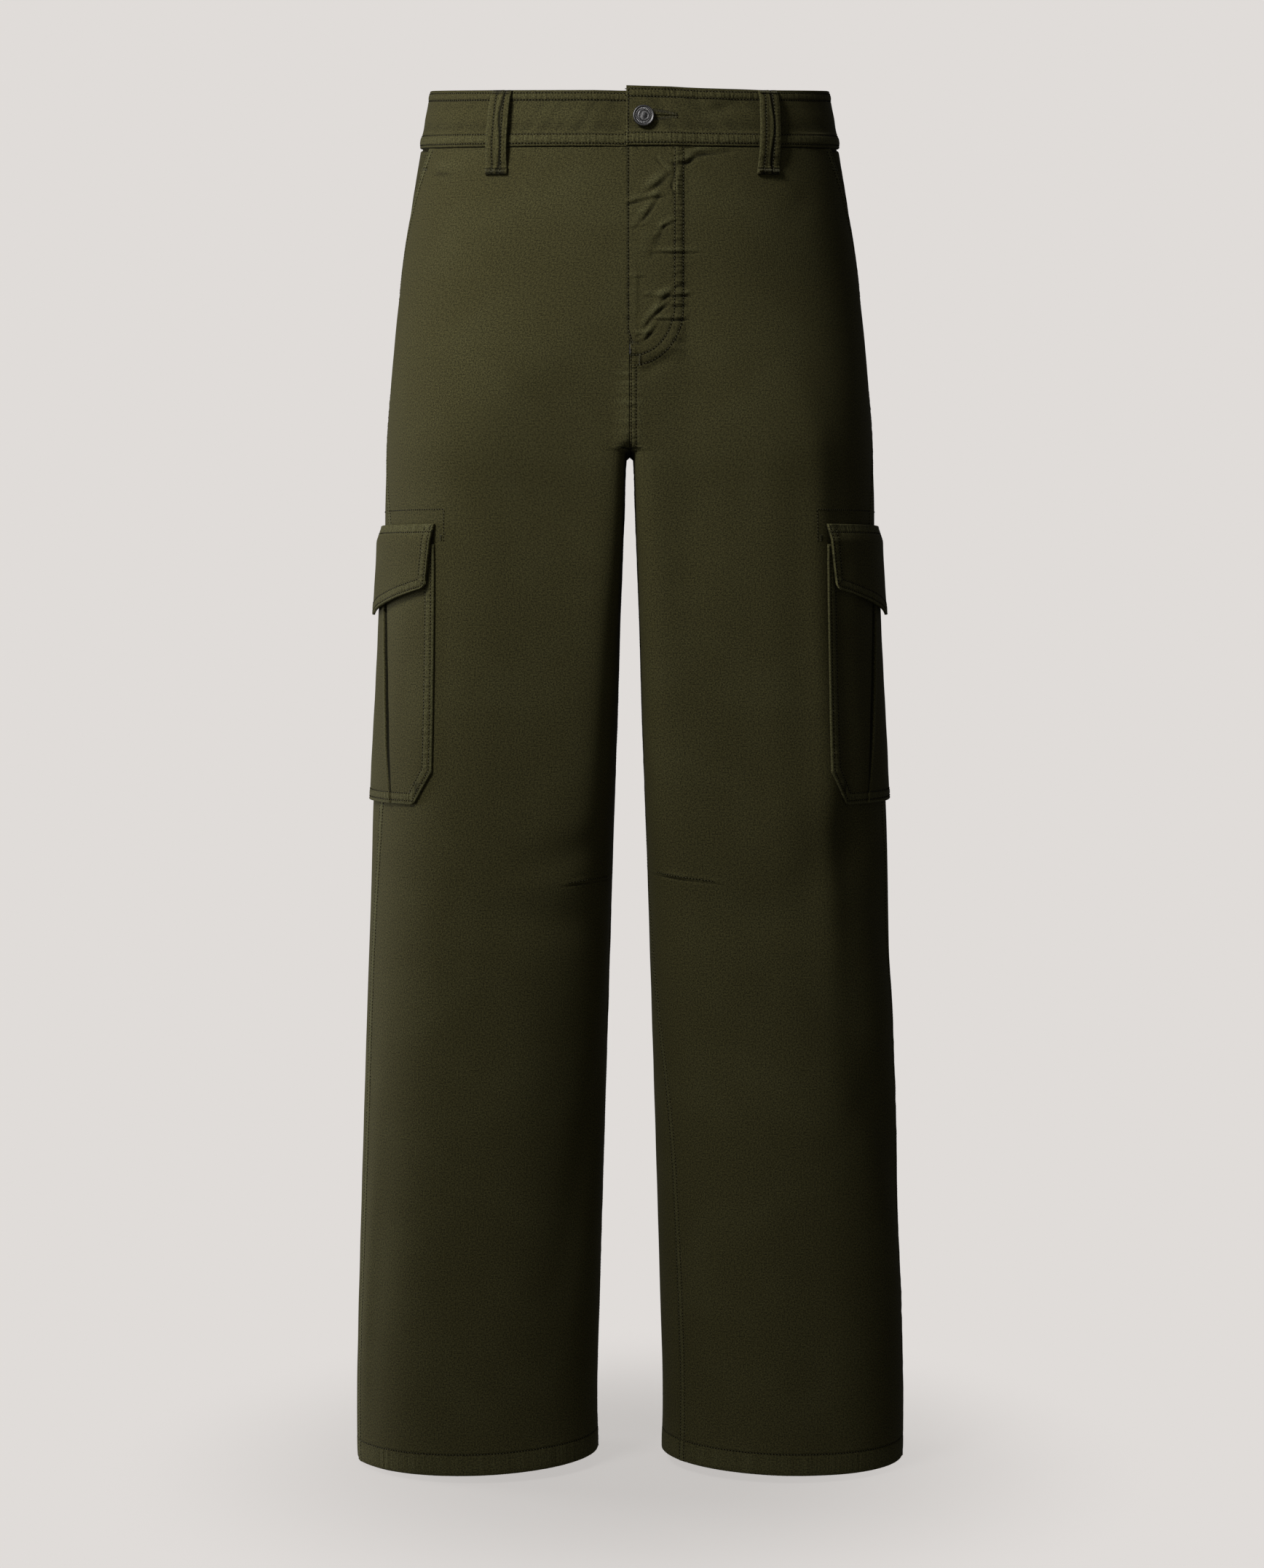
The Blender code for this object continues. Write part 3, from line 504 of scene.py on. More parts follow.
def crease_height(points, creases=CREASES):
    """How far the creases move the cloth, from its place in a front or back view."""
    height = np.zeros(points.shape[:-1])
    below = BAND_HEIGHT / 2.0 - points[..., 2]
    for crease in creases:
        facing = -points[..., 1] if crease.over_front else points[..., 1]
        lean = math.radians(crease.lean)
        aside, up = points[..., 0] - crease.x, crease.below - below
        along = (aside * math.cos(lean) + up * math.sin(lean)) / (crease.length / 2.0)
        off = up * math.cos(lean) - aside * math.sin(lean) - crease.bend * along ** 2
        trough = np.exp(-(off / crease.width) ** 2)
        ridge = SHARP_RIDGE if crease.width < SHARP_WIDTH else SOFT_RIDGE
        raised = ridge.height * np.exp(-((off / crease.width - ridge.shift) / ridge.spread) ** 2)
        uneven = 1.0 + CREASE_UNEVEN * np.sin(CREASE_WAVES * along + crease.x)
        shape = (raised - trough) * uneven * np.exp(-along ** 4)
        height = height + crease.depth * shape * ease(facing / SIDE_FADE)
    return height


def face_normal(side, drop, turn):
    """The direction straight out of the cloth, and the length of one degree of turn."""
    down_step, turn_step = NORMAL_STEP_DOWN, NORMAL_STEP_TURN
    across = smooth_face(side, drop, turn + turn_step) - smooth_face(side, drop, turn - turn_step)
    down = smooth_face(side, drop + down_step, turn) - smooth_face(side, drop - down_step, turn)
    normal = side * np.cross(across, down)
    length = np.linalg.norm(across, axis=-1) / (2.0 * turn_step)
    return normal / np.linalg.norm(normal, axis=-1, keepdims=True), length


def cloth(side, drop, turn, out=0.0):
    """Points `out` mm off the cloth's outer face."""
    drop, turn, out = np.broadcast_arrays(np.asarray(drop, float), turn, out)
    points = smooth_face(side, drop, turn)
    lift = out + fold_height(side, drop, turn, points) + crease_height(points)
    return points + face_normal(side, drop, turn)[0] * lift[..., None]


print("sharp creases:", len(SHARP_CREASES), "of", len(CREASES))

# %% Finding places on the cloth
HALVINGS = 30


def degrees(side, drop, turn, width):
    """The turn that a width of cloth takes up."""
    return width / face_normal(side, np.asarray(drop, float), np.asarray(turn, float))[1]


def turn_at(drop, from_centre, over_front):
    """The turn at which the cloth reaches a distance from the centre line, found by halving."""
    sign = 1.0 if over_front else -1.0
    low, high = np.zeros(np.shape(drop)), np.full(np.shape(drop), 180.0)
    for _ in range(HALVINGS):
        middle = (low + high) / 2.0
        beyond = smooth_face(1, drop, sign * middle)[..., 0] > from_centre
        low, high = np.where(beyond, middle, low), np.where(beyond, high, middle)
    return sign * (low + high) / 2.0


def outer_seam(side, drop):
    """The turn of the side seam."""
    return read(SEAMS, "outer_left" if side > 0 else "outer_right", drop)


def inner_seam(side, drop):
    """The turn of the inseam."""
    return read(SEAMS, "inner_left" if side > 0 else "inner_right", drop)


print("a centimetre at the knee:", degrees(1, 602.0, 90.0, 10.0).round(1), "degrees")

# %% [markdown]
# ## Sewing pulls the cloth
# Cloth beside a seam is doubled, so it stands a little proud, and each row of stitches pulls it
# in again. Where the two layers were fed unevenly the strip puckers. `ripple` is a wave of uneven
# spacing made from a few sines, which gives the same result every time. A seam's strip has its
# width, the seed of its wave, how far it puffs up and how high its puckers are.

# %% Seam relief
DIP = 0.5
DIP_WIDTH = 0.8
PUCKER = 0.26
ROLL = 0.75
ROLL_WIDTH = 0.6
WORN_EDGE = 0.45
WORN_WIDTH = 1.3
STRIP_FADE = 2.0
STRIP_SOFTNESS = 1.2
Sine = namedtuple("Sine", "height length seeds")
RIPPLE_DRIFT = (Sine(2.1, 13.7, 1.0), Sine(3.0, 41.0, 2.0))
RIPPLE_WAVES = (Sine(1.0, 6.3, 1.0), Sine(0.7, 10.1, 1.7))
RIPPLE_SWELL = Sine(0.4, 29.0, 3.0)
SeamStrip = namedtuple("SeamStrip", "width seed puff pucker")


def ripple(along, seed):
    """An uneven wave from about -1 to 1, with 5 to 12 mm between its crests."""
    wander, wave = along, 0.0
    for sine in RIPPLE_DRIFT:
        wander = wander + sine.height * np.sin(along / sine.length + sine.seeds * seed)
    for sine in RIPPLE_WAVES:
        wave = wave + sine.height * np.sin(wander * 2 * np.pi / sine.length + sine.seeds * seed)
    height, length, seeds = RIPPLE_SWELL
    swell = 1.0 - height + height * np.sin(along / length + seeds * seed)
    return wave * swell / sum(sine.height for sine in RIPPLE_WAVES)


def mottle(points, size, seed):
    """A soft uneven height over the cloth, of about one `size` between its hills."""
    x, y, z = (points[..., axis] / size for axis in range(3))
    first = np.sin(1.9 * x + 1.3 * z + seed) * np.sin(1.1 * z - 0.7 * x + 2.0 * seed)
    second = np.sin(2.7 * z + 1.9 * y + 1.4 * seed) * np.sin(2.2 * x - 1.2 * y + 0.6 * seed)
    return 0.6 * first + 0.4 * second


def seam_strip(away, along, kind, side):
    """The doubled strip beside a seam, with its puckers, which fade out past its middle."""
    raised = kind.puff * (1.0 - ease((away - kind.width) / STRIP_FADE))
    crossing = np.exp(-((away - kind.width * 0.6) / (kind.width * 0.75 + 1.5)) ** 2)
    return raised + kind.pucker * ripple(along, kind.seed + side) * crossing


def strip(away, near, far):
    """1 between two distances from an edge, easing to 0 within a millimetre or so."""
    return (ease((away - near) / STRIP_SOFTNESS + 0.5)
            * (1.0 - ease((away - far) / STRIP_SOFTNESS + 0.5)))


def rolled(away):
    """The turned edge of a piece, which rounds down to the cloth under it."""
    return -ROLL * (1.0 - np.clip(away / ROLL_WIDTH, 0.0, 1.0)) ** 2


def worn(away):
    """How pale a turned edge has rubbed, over and above the painted shade of its rolled form, which it
    takes back.
    """
    return WORN_EDGE * np.exp(-(away / WORN_WIDTH) ** 2) - rolled(away)


def stitch_dips(points, rows):
    """How far rows of stitches pull the cloth in."""
    dots = np.concatenate(rows)
    tree = KDTree(len(dots))
    for index, dot in enumerate(dots):
        tree.insert(dot, index)
    tree.balance()
    flat = points.reshape(-1, 3)
    away = np.array([tree.find(point)[2] for point in flat]).reshape(points.shape[:-1])
    return -DIP * np.exp(-(away / DIP_WIDTH) ** 2)


print("puckers stand", PUCKER, "mm proud, stitches pull in", DIP, "mm")

# %% [markdown]
# ## A shell of cloth
# Each piece is a grid of points on its outer face and a second one under it, joined round the
# border, so it is a closed thin shell like the real cloth. Every point keeps its place on the flat
# cloth in millimetres as a UV map, which the weave follows, and three numbers: how much the spot
# stands proud, which sets paler wear on raised cloth and painted shade in dips, creases and seam
# lines, how far it is along its seam, and how much the seam pinches it there, which the finest
# gathers follow.

# %% Build a shell
SHADE_FULL = 0.6
LINING_STRIDE = 3


def thinned(count):
    """Every third number, with the last: the lining side needs no fine grid."""
    return np.unique(np.append(np.arange(0, count, LINING_STRIDE), count - 1))


def grid_cells(index, turned):
    """The four-sided cells of a grid of corner numbers."""
    a, b, c, d = index[:-1, :-1], index[:-1, 1:], index[1:, 1:], index[1:, :-1]
    order = (a, b, c, d) if turned else (a, d, c, b)
    return np.stack([corner.ravel() for corner in order], axis=1).tolist()


def add_shell(name, side, outer, inner, flat_u, flat_v, proud, along=0.0, pinch=0.0):
    """A closed shell between two grids, rows down and columns towards larger turns."""
    rows, columns = outer.shape[:2]
    keep_rows, keep_columns = thinned(rows), thinned(columns)
    keep = np.ix_(keep_rows, keep_columns)
    front = np.arange(rows * columns).reshape(rows, columns)
    back = np.full((rows, columns), -1)
    back[keep] = np.arange(len(keep_rows) * len(keep_columns)).reshape(keep[0].size, -1) + front.size
    faces = grid_cells(front, False) + grid_cells(back[keep], True)
    outer_count = (rows - 1) * (columns - 1)
    rim = [np.concatenate([grid[0, :], grid[1:, -1], grid[-1, -2::-1], grid[-2:0:-1, 0]])
           for grid in (front, back)]
    held = [step for step, corner in enumerate(rim[1]) if corner >= 0]
    for here, there in zip(held, held[1:] + [len(rim[0])]):
        chain = [int(rim[0][step % len(rim[0])]) for step in range(here, there + 1)]
        faces.append(chain + [int(rim[1][there % len(rim[1])]), int(rim[1][here])])
    if side > 0:
        faces = [face[::-1] for face in faces]
    points = np.concatenate([outer.reshape(-1, 3), inner[keep].reshape(-1, 3)]) * MM
    mesh = bpy.data.meshes.new(name)
    mesh.from_pydata(points.tolist(), [], faces)
    layer = mesh.uv_layers.new(name="cloth_mm")
    flat = np.stack(np.broadcast_arrays(flat_u, flat_v, outer[..., 0])[:2], axis=-1)
    flat = np.concatenate([flat.reshape(-1, 2), flat[keep].reshape(-1, 2)])
    corners = np.empty(len(mesh.loops), np.int32)
    mesh.loops.foreach_get("vertex_index", corners)
    layer.data.foreach_set("uv", flat[corners].astype(np.float32).ravel())
    lining = np.zeros(keep[0].size * keep[1].size)
    marks = {"proud": np.clip(proud / SHADE_FULL, -1.0, 1.0), "along": along, "pinch": pinch}
    for label, values in marks.items():
        values = np.broadcast_to(values, outer.shape[:2]).ravel()
        layer = mesh.attributes.new(label, "FLOAT", "POINT")
        layer.data.foreach_set("value", np.append(values, lining).astype(np.float32))
    mesh.shade_smooth()
    piece = bpy.data.objects.new(name, mesh)
    bpy.context.scene.collection.objects.link(piece)
    piece["outer_faces"] = outer_count
    print(name, "faces:", len(faces))
    return piece


print("the inner face keeps one row and column in", LINING_STRIDE)

# %% Spacing of a shell's columns and rows
ROW_SAMPLES = 601


def spread_columns(side, drops, start, end, corner, near_start, before_corner, near_end, step):
    """Turns along each row: set distances from both edges and before a corner, even steps between."""
    share = np.linspace(0.0, 1.0, ROW_SAMPLES)
    turns = start[:, None] + (end - start)[:, None] * share
    points = smooth_face(side, drops[:, None], turns)
    walk = np.linalg.norm(np.diff(points, axis=1), axis=2)
    walk = np.concatenate([np.zeros((len(drops), 1)), np.cumsum(walk, axis=1)], axis=1)
    corner_share = (corner - start) / (end - start)
    bend = np.array([np.interp(part, share, row) for part, row in zip(corner_share, walk)])
    near_start, before_corner, near_end = map(np.array, (near_start, before_corner, near_end))
    first = int(math.ceil((bend - before_corner[0] - near_start[-1]).max() / step))
    second = int(math.ceil((walk[:, -1] - near_end[-1] - bend).max() / step))
    result, away = [], []
    for row, (width, middle) in enumerate(zip(walk[:, -1], bend)):
        to_corner = np.linspace(near_start[-1], middle - before_corner[0], first + 1)[1:-1]
        past_corner = np.linspace(middle, width - near_end[-1], second + 1)[1:-1]
        wanted = np.concatenate([near_start, to_corner, middle - before_corner, past_corner,
                                 (width - near_end)[::-1]])
        result.append(np.interp(wanted, walk[row], turns[row]))
        away.append(wanted)
    return np.array(result), np.array(away), walk[:, -1]


def steps(*stops):
    """Numbers from stop to stop: (from, to, step) groups joined into one rising list."""
    parts = [np.arange(low, high, step) for low, high, step in stops]
    return np.concatenate(parts + [np.array([stops[-1][1]])])


SEWN_EDGE = (0.0, 0.2, 0.5, 0.9, 1.3, 1.7, 2.1, 2.6, 3.6, 4.8, 5.5, 6.0, 6.5, 7.0, 7.5, 8.0, 8.8, 11.0)
PLAIN_EDGE = (0.0, 0.2, 0.5, 1.1, 2.2, 4.0, 7.0, 11.0)
print("columns kept close together beside a sewn edge:", len(SEWN_EDGE))

# %% [markdown]
# ## Rows of stitches, as paths
# A stitch row is planned as a path on the plain surface before the cloth is made, because the
# cloth needs to know where it is pulled in. Afterwards each path is laid on the finished piece,
# and thread is strung along it. Rows run beside the pocket mouths, the side seams, the inseams,
# the seat and the hems, and two J-shaped ones hold the fly. A short row closes the dart at each
# knee, and one more holds a strip behind each pocket flap.

# %% Where the stitch rows run
MOUTH_TURN_TOP = 22.6
MOUTH_END = 184.0
MOUTH_ROWS = (2.0, 7.5)
SIDE_ROWS = (1.6, 7.5)
INSEAM_ROWS = (1.6, 6.0)
SEAT_ROWS = (1.6, 7.0)
HEM_ROW = 16.5
FLY_EDGE_ROW = 1.6
FLY_ROWS = (39.0, 32.6)
FLY_BEND_DROP = (168.0, 166.0)
FLY_TOE_DROP = (212.5, 205.0)
FLY_TOE_X = 2.6
FLY_STOP_X = 6.5
FLY_PINCH_END = 168.0
RISE_ROWS = (1.1, 4.8)
DART_ROW = 2.2
Dart = namedtuple("Dart", "from_near drop_near from_far drop_far")
DARTS = {1: Dart(20.5, 592.5, 60.5, 597.0), -1: Dart(15.0, 597.5, 42.0, 600.0)}
SUPPORT_DROP = 319.0
SUPPORT_END = 341.0
SUPPORT_TURN_FRONT = 63.3
SUPPORT_TURN_BACK = -51.3
SUPPORT_TURN_SEAM = 17.0
SUPPORT_SEAM_ROOM = 4.0
ROW_START = 46.0
FLY_ROW_START = 45.0
print("hem stitched", HEM_ROW, "mm above its edge")

# %% Edges and layers the rows follow
PATH_STEP = 0.8


def resampled(points):
    """A path's points at an even, close spacing."""
    walk = np.concatenate([[0.0], np.cumsum(np.linalg.norm(np.diff(points, axis=0), axis=1))])
    count = max(int(walk[-1] / PATH_STEP), 2)
    even = np.linspace(0.0, walk[-1], count + 1)
    return np.stack([np.interp(even, walk, points[:, axis]) for axis in range(3)], axis=1)


def front_side_edge(side, drop):
    """The front's outer edge: the pocket mouth above, the side seam below."""
    along = np.clip((drop - BAND_HEIGHT) / (MOUTH_END - BAND_HEIGHT), 0.0, 1.0)
    mouth = MOUTH_TURN_TOP + (outer_seam(side, MOUTH_END) - MOUTH_TURN_TOP) * along
    return np.where(drop < MOUTH_END, mouth, outer_seam(side, drop))


def fly_share(drop):
    """1 beside the fly, easing to 0 at its foot."""
    return 1.0 - ease((drop - FLY_END) / FLY_FOOT)


def centre_front_edge(side, drop):
    """How far each front stops from the centre line; less than 0 runs past it."""
    stop = SEAM_GAP / 2
    if side < 0:
        return stop - (FLY_UNDERLAP + stop) * (1.0 - ease((drop - UNDERLAP_END) / FLY_FOOT))
    stop = stop + FLY_ROOM * fly_share(drop)
    return stop - (FLY_LAP + stop) * (1.0 - ease((drop - UNDERLAP_END - FLY_FOOT) / FLY_FOOT))


def fly_raise(side, drop, turn):
    """The left front stands out where the fly's layers lie under it."""
    if side < 0:
        return np.zeros(np.broadcast(drop, turn).shape)
    from_centre = smooth_face(side, drop, turn)[..., 0]
    near = 1.0 - ease((from_centre - FLY_WIDTH) / FLY_EASE)
    return np.where(np.sin(np.radians(turn)) > 0.0, FLY_RAISE * near * fly_share(drop), 0.0)


def hem_thickness(drop):
    """The wall's thickness, doubled cloth at the hem."""
    return CLOTH + (HEM_CLOTH - CLOTH) * ease((drop - (OUTSEAM - HEM_FOLD)) / HEM_STEP)


def path(side, drop, turn):
    """A planned row as points on the cloth."""
    drop, turn = np.broadcast_arrays(np.asarray(drop, float), turn)
    return resampled(cloth(side, drop, turn, fly_raise(side, drop, turn)))


def row_beside(side, edge, drops, away):
    """A row that follows a seam or an edge, `away` mm from it."""
    turns = edge(side, drops)
    return path(side, drops, turns + degrees(side, drops, turns, away))


def row_from_centre(side, drops, from_centre, over_front=True):
    """A row at set distances from the centre line."""
    return path(side, drops, turn_at(drops, from_centre, over_front))


print("the left front laps the centre by", -round(float(centre_front_edge(1, FLY_ROW_START)), 1), "mm")

# %% Plan the stitch rows


def fly_row(index):
    """One of the two J-shaped rows of the fly."""
    bend = np.radians(np.linspace(0.0, 90.0, 40))
    reach = FLY_ROWS[index] - FLY_TOE_X
    deep = FLY_TOE_DROP[index] - FLY_BEND_DROP[index]
    drops = np.concatenate([np.linspace(FLY_ROW_START, FLY_BEND_DROP[index], 60),
                            FLY_BEND_DROP[index] + deep * np.sin(bend)[1:]])
    aside = np.concatenate([np.full(60, FLY_ROWS[index]), FLY_TOE_X + reach * np.cos(bend)[1:]])
    return row_from_centre(1, drops, aside)


def support_row(side, turn):
    """The row over and beside a pocket flap, which holds a strip under the leg's cloth."""
    edge = SUPPORT_TURN_SEAM + math.copysign(SUPPORT_SEAM_ROOM, turn - SUPPORT_TURN_SEAM)
    turns = np.concatenate([np.linspace(edge, turn, 100), np.full(20, turn)])
    drops = np.concatenate([np.full(100, SUPPORT_DROP), np.linspace(SUPPORT_DROP, SUPPORT_END, 21)[1:]])
    return path(side, drops, turns)


def dart_row(side):
    """The row over the short dart that shapes a knee from its inner side."""
    dart = DARTS[side]
    across = np.linspace(dart.from_near, dart.from_far, 40)
    drops = np.linspace(dart.drop_near, dart.drop_far, 40) - DART_ROW
    return row_from_centre(side, drops, across)


def front_rows(side):
    """The stitch rows on a front panel."""
    mouth = np.linspace(ROW_START, MOUTH_END, 80)
    below = np.linspace(MOUTH_END + 2.0, OUTSEAM - 2.0, 300)
    leg = np.linspace(CROTCH_DROP + 6.0, OUTSEAM - 2.0, 300)
    rows = [row_beside(side, front_side_edge, mouth, away) for away in MOUTH_ROWS]
    rows += [row_beside(side, outer_seam, below, away) for away in SIDE_ROWS]
    rows += [row_beside(side, inner_seam, leg, -away) for away in INSEAM_ROWS]
    outer, inner = (float(edge(side, OUTSEAM - HEM_ROW)) for edge in (outer_seam, inner_seam))
    rows.append(path(side, OUTSEAM - HEM_ROW, np.linspace(outer + 1.0, inner - 1.0, 200)))
    if side > 0:
        rows += [fly_row(0), fly_row(1)]
        edge = np.linspace(FLY_ROW_START, FLY_END - 4.0, 80)
        rows.append(row_from_centre(1, edge, centre_front_edge(1, edge) + FLY_EDGE_ROW))
        for start, away in zip((213.0, FLY_END), RISE_ROWS[::-1]):
            rows.append(row_from_centre(1, np.linspace(start, CROTCH_DROP - 1.0, 60), away))
    rows.append(dart_row(side))
    return rows


def back_rows(side):
    """The stitch rows on a back panel."""
    seat = np.linspace(ROW_START, CROTCH_DROP - 1.0, 140)
    outer, inner = (float(edge(side, OUTSEAM - HEM_ROW)) for edge in (outer_seam, inner_seam))
    rows = [path(side, OUTSEAM - HEM_ROW, np.linspace(outer - 1.0, inner - 360.0 + 1.0, 220))]
    if side > 0:
        rows += [row_from_centre(1, seat, away, False) for away in SEAT_ROWS]
    return rows


ROWS = {
    "front_left": front_rows(1),
    "front_right": front_rows(-1),
    "back_left": back_rows(1),
    "back_right": back_rows(-1),
}
LOOSE_ROWS = {f"{face}_{word}": [support_row(side, turn)]
              for side, word in SIDES
              for face, turn in (("front", SUPPORT_TURN_FRONT), ("back", SUPPORT_TURN_BACK))}
print("rows planned:", {name: len(rows) for name, rows in ROWS.items()})

# %% [markdown]
# ## The four leg panels
# Each leg is a front and a back panel, seamed down the outside and the inner leg. The fronts meet
# at the fly and the rise, and the backs at the seat. The grid is finest beside the edges and over
# the fly, where the rows of stitches and the small puckers are.

# %% The rows of a panel's grid
WAIST_EDGE = (0.0, 0.25, 0.6, 1.1, 1.8, 2.6, 3.6)
HEM_EDGE = (24.0, 21.0, 19.0, 18.0, 17.2, 16.8, 16.4, 16.0, 15.5, 14.6, 13.0, 10.0, 7.0, 4.5, 2.6,
            1.5, 0.8, 0.4, 0.15, 0.0)
FLY_STEP = 0.95
UPPER_STEP = 3.6
LEG_STEP = 5.0
DART_STEP = 0.8


def panel_drops(side, over_front):
    """The drops of a panel's rows, close together at the waist, fly, crotch and hem."""
    upper = FLY_STEP if (over_front and side > 0) else UPPER_STEP
    dart = DART_STEP if over_front else LEG_STEP
    top = np.array(WAIST_EDGE) + BAND_HEIGHT + GAP / 2
    middle = steps((49.5, 216.0, upper), (216.0, 250.0, 2.4), (250.0, 269.0, 1.6), (269.0, 275.0, 0.8),
                   (275.0, CROTCH_DROP, 0.3), (CROTCH_DROP, 279.0, 0.7), (279.0, 304.0, 2.0),
                   (304.0, 589.0, LEG_STEP), (589.0, 602.0, dart), (602.0, 1022.0, LEG_STEP))
    return np.concatenate([top, middle, OUTSEAM - np.array(HEM_EDGE)])


print("rows of the left front's grid:", len(panel_drops(1, True)))

# %% [markdown]
# ## What sewing does to a panel
# What is finer than a crease belongs to the sewing. Each seam has its puffed strip, the waist
# seam and the fly's rows pucker the cloth across their line, and the hem's fold swells a little.
# `panel_pinch` then says which strips are pinched enough to gather finely.

# %% Relief of a panel
OUTER_STRIP = SeamStrip(7.5, 1.3, 0.55, PUCKER)
INSEAM_STRIP = SeamStrip(6.0, 2.1, 0.35, 0.12)
BACK_STRIP = SeamStrip(5.0, 6.1, 0.0, 0.12)
SEAT_STRIP = SeamStrip(7.5, 6.7, 0.45, 0.15)
RISE_FROM = 205.0
RISE_RUN = 8.0
RISE_WIDTH = 9.0
RISE_PUFF = 0.35
RISE_PUCKER = 0.416
FLY_PUCKER = 0.26
FLY_PUCKER_AT = 36.0
FLY_PUCKER_WIDTH = 7.0
FLY_EDGE_WIDTH = 5.0
WAIST_PUCKER_WIDTH = 5.0
HEM_SWELL = 0.3
HEM_PUCKER = 0.14
HEM_SPREAD = 0.62


def panel_relief(side, over_front, drops, turns, away, widths):
    """Everything finer than the creases on one panel."""
    near, far = away, widths[:, None] - away
    height = rolled(near) + rolled(far)
    height = height + rolled(drops - BAND_HEIGHT - GAP / 2) + rolled(OUTSEAM - drops)
    low = drops > CROTCH_DROP
    if over_front:
        height = height + seam_strip(near, drops, OUTER_STRIP, side)
        height = height + np.where(low, seam_strip(far, drops, INSEAM_STRIP, side), 0.0)
        from_centre = side * smooth_face(side, drops, turns)[..., 0]
        rise = np.where(low, 0.0, ease((drops - RISE_FROM) / RISE_RUN))
        rise = rise * np.exp(-(from_centre / RISE_WIDTH) ** 2)
        height = height + rise * (RISE_PUFF + RISE_PUCKER * ripple(drops, 4.4))
        if side > 0:
            beside = np.exp(-((from_centre - FLY_PUCKER_AT) / FLY_PUCKER_WIDTH) ** 2)
            beside = beside + 0.5 * np.exp(-(from_centre / FLY_EDGE_WIDTH) ** 2)
            height = height + FLY_PUCKER * ripple(drops * 0.8, 5.2) * beside * fly_share(drops)
    else:
        height = height + seam_strip(near, drops, BACK_STRIP, side)
        if side > 0:
            height = height + np.where(low, 0.0, seam_strip(far, drops, SEAT_STRIP, side))
    waist = np.exp(-((drops - BAND_HEIGHT) / WAIST_PUCKER_WIDTH) ** 2)
    height = height + PUCKER * ripple(away * 0.9, 8.0 + side) * waist
    hem = np.exp(-((OUTSEAM - drops - HEM_ROW / 2) / (HEM_ROW * HEM_SPREAD)) ** 2)
    return height + hem * (HEM_SWELL + HEM_PUCKER * ripple(away * 0.55, 9.0 + side))


def panel_pinch(side, over_front, drops, turns, away, widths):
    """The way along each sewn strip of a panel, and how much the strip is pinched there."""
    far = widths[:, None] - away
    low = drops > CROTCH_DROP
    pinch = np.zeros(drops.shape)
    if over_front:
        pinch = np.where(drops < MOUTH_END, 1.0, 0.6) * strip(away, 1.5, MOUTH_ROWS[1])
        pinch = np.maximum(pinch, np.where(low, 0.6, 0.0) * strip(far, 1.0, INSEAM_ROWS[1]))
        from_centre = side * smooth_face(side, drops, turns)[..., 0]
        if side > 0:
            pinch = np.maximum(pinch, strip(from_centre, *FLY_ROWS[::-1]) * (drops < FLY_PINCH_END))
        rise = strip(from_centre, 0.5, RISE_ROWS[1]) * (drops > FLY_END) * (side > 0)
        pinch = np.maximum(pinch, np.where(low, 0.0, rise))
    elif side > 0:
        pinch = np.where(low, 0.0, strip(far, *SEAT_ROWS))
    hem = 0.5 * strip(OUTSEAM - drops, 1.5, HEM_ROW)
    return np.where(hem > pinch, away, drops), np.maximum(pinch, hem)


print("widest seam strip:", OUTER_STRIP.width, "mm")

# %% Build the leg panels
CORNER_TURN = 131.5
CORNER_ROOM = 3.0
COLUMN_STEP = 5.0
FLY_FINE_WIDTH = 36.4
FLY_FINE_STEP = 1.04
CENTRE_CLOSED_LEFT = 212.0
CENTRE_CLOSED_RIGHT = 184.0
PANEL_MOTTLE = 0.1
PANEL_MOTTLE_SIZE = 21.0
SHARP_CREASE_PAINTED_SHADE_AND_WEAR = 0.5
LINING_SETTLE = 0.9


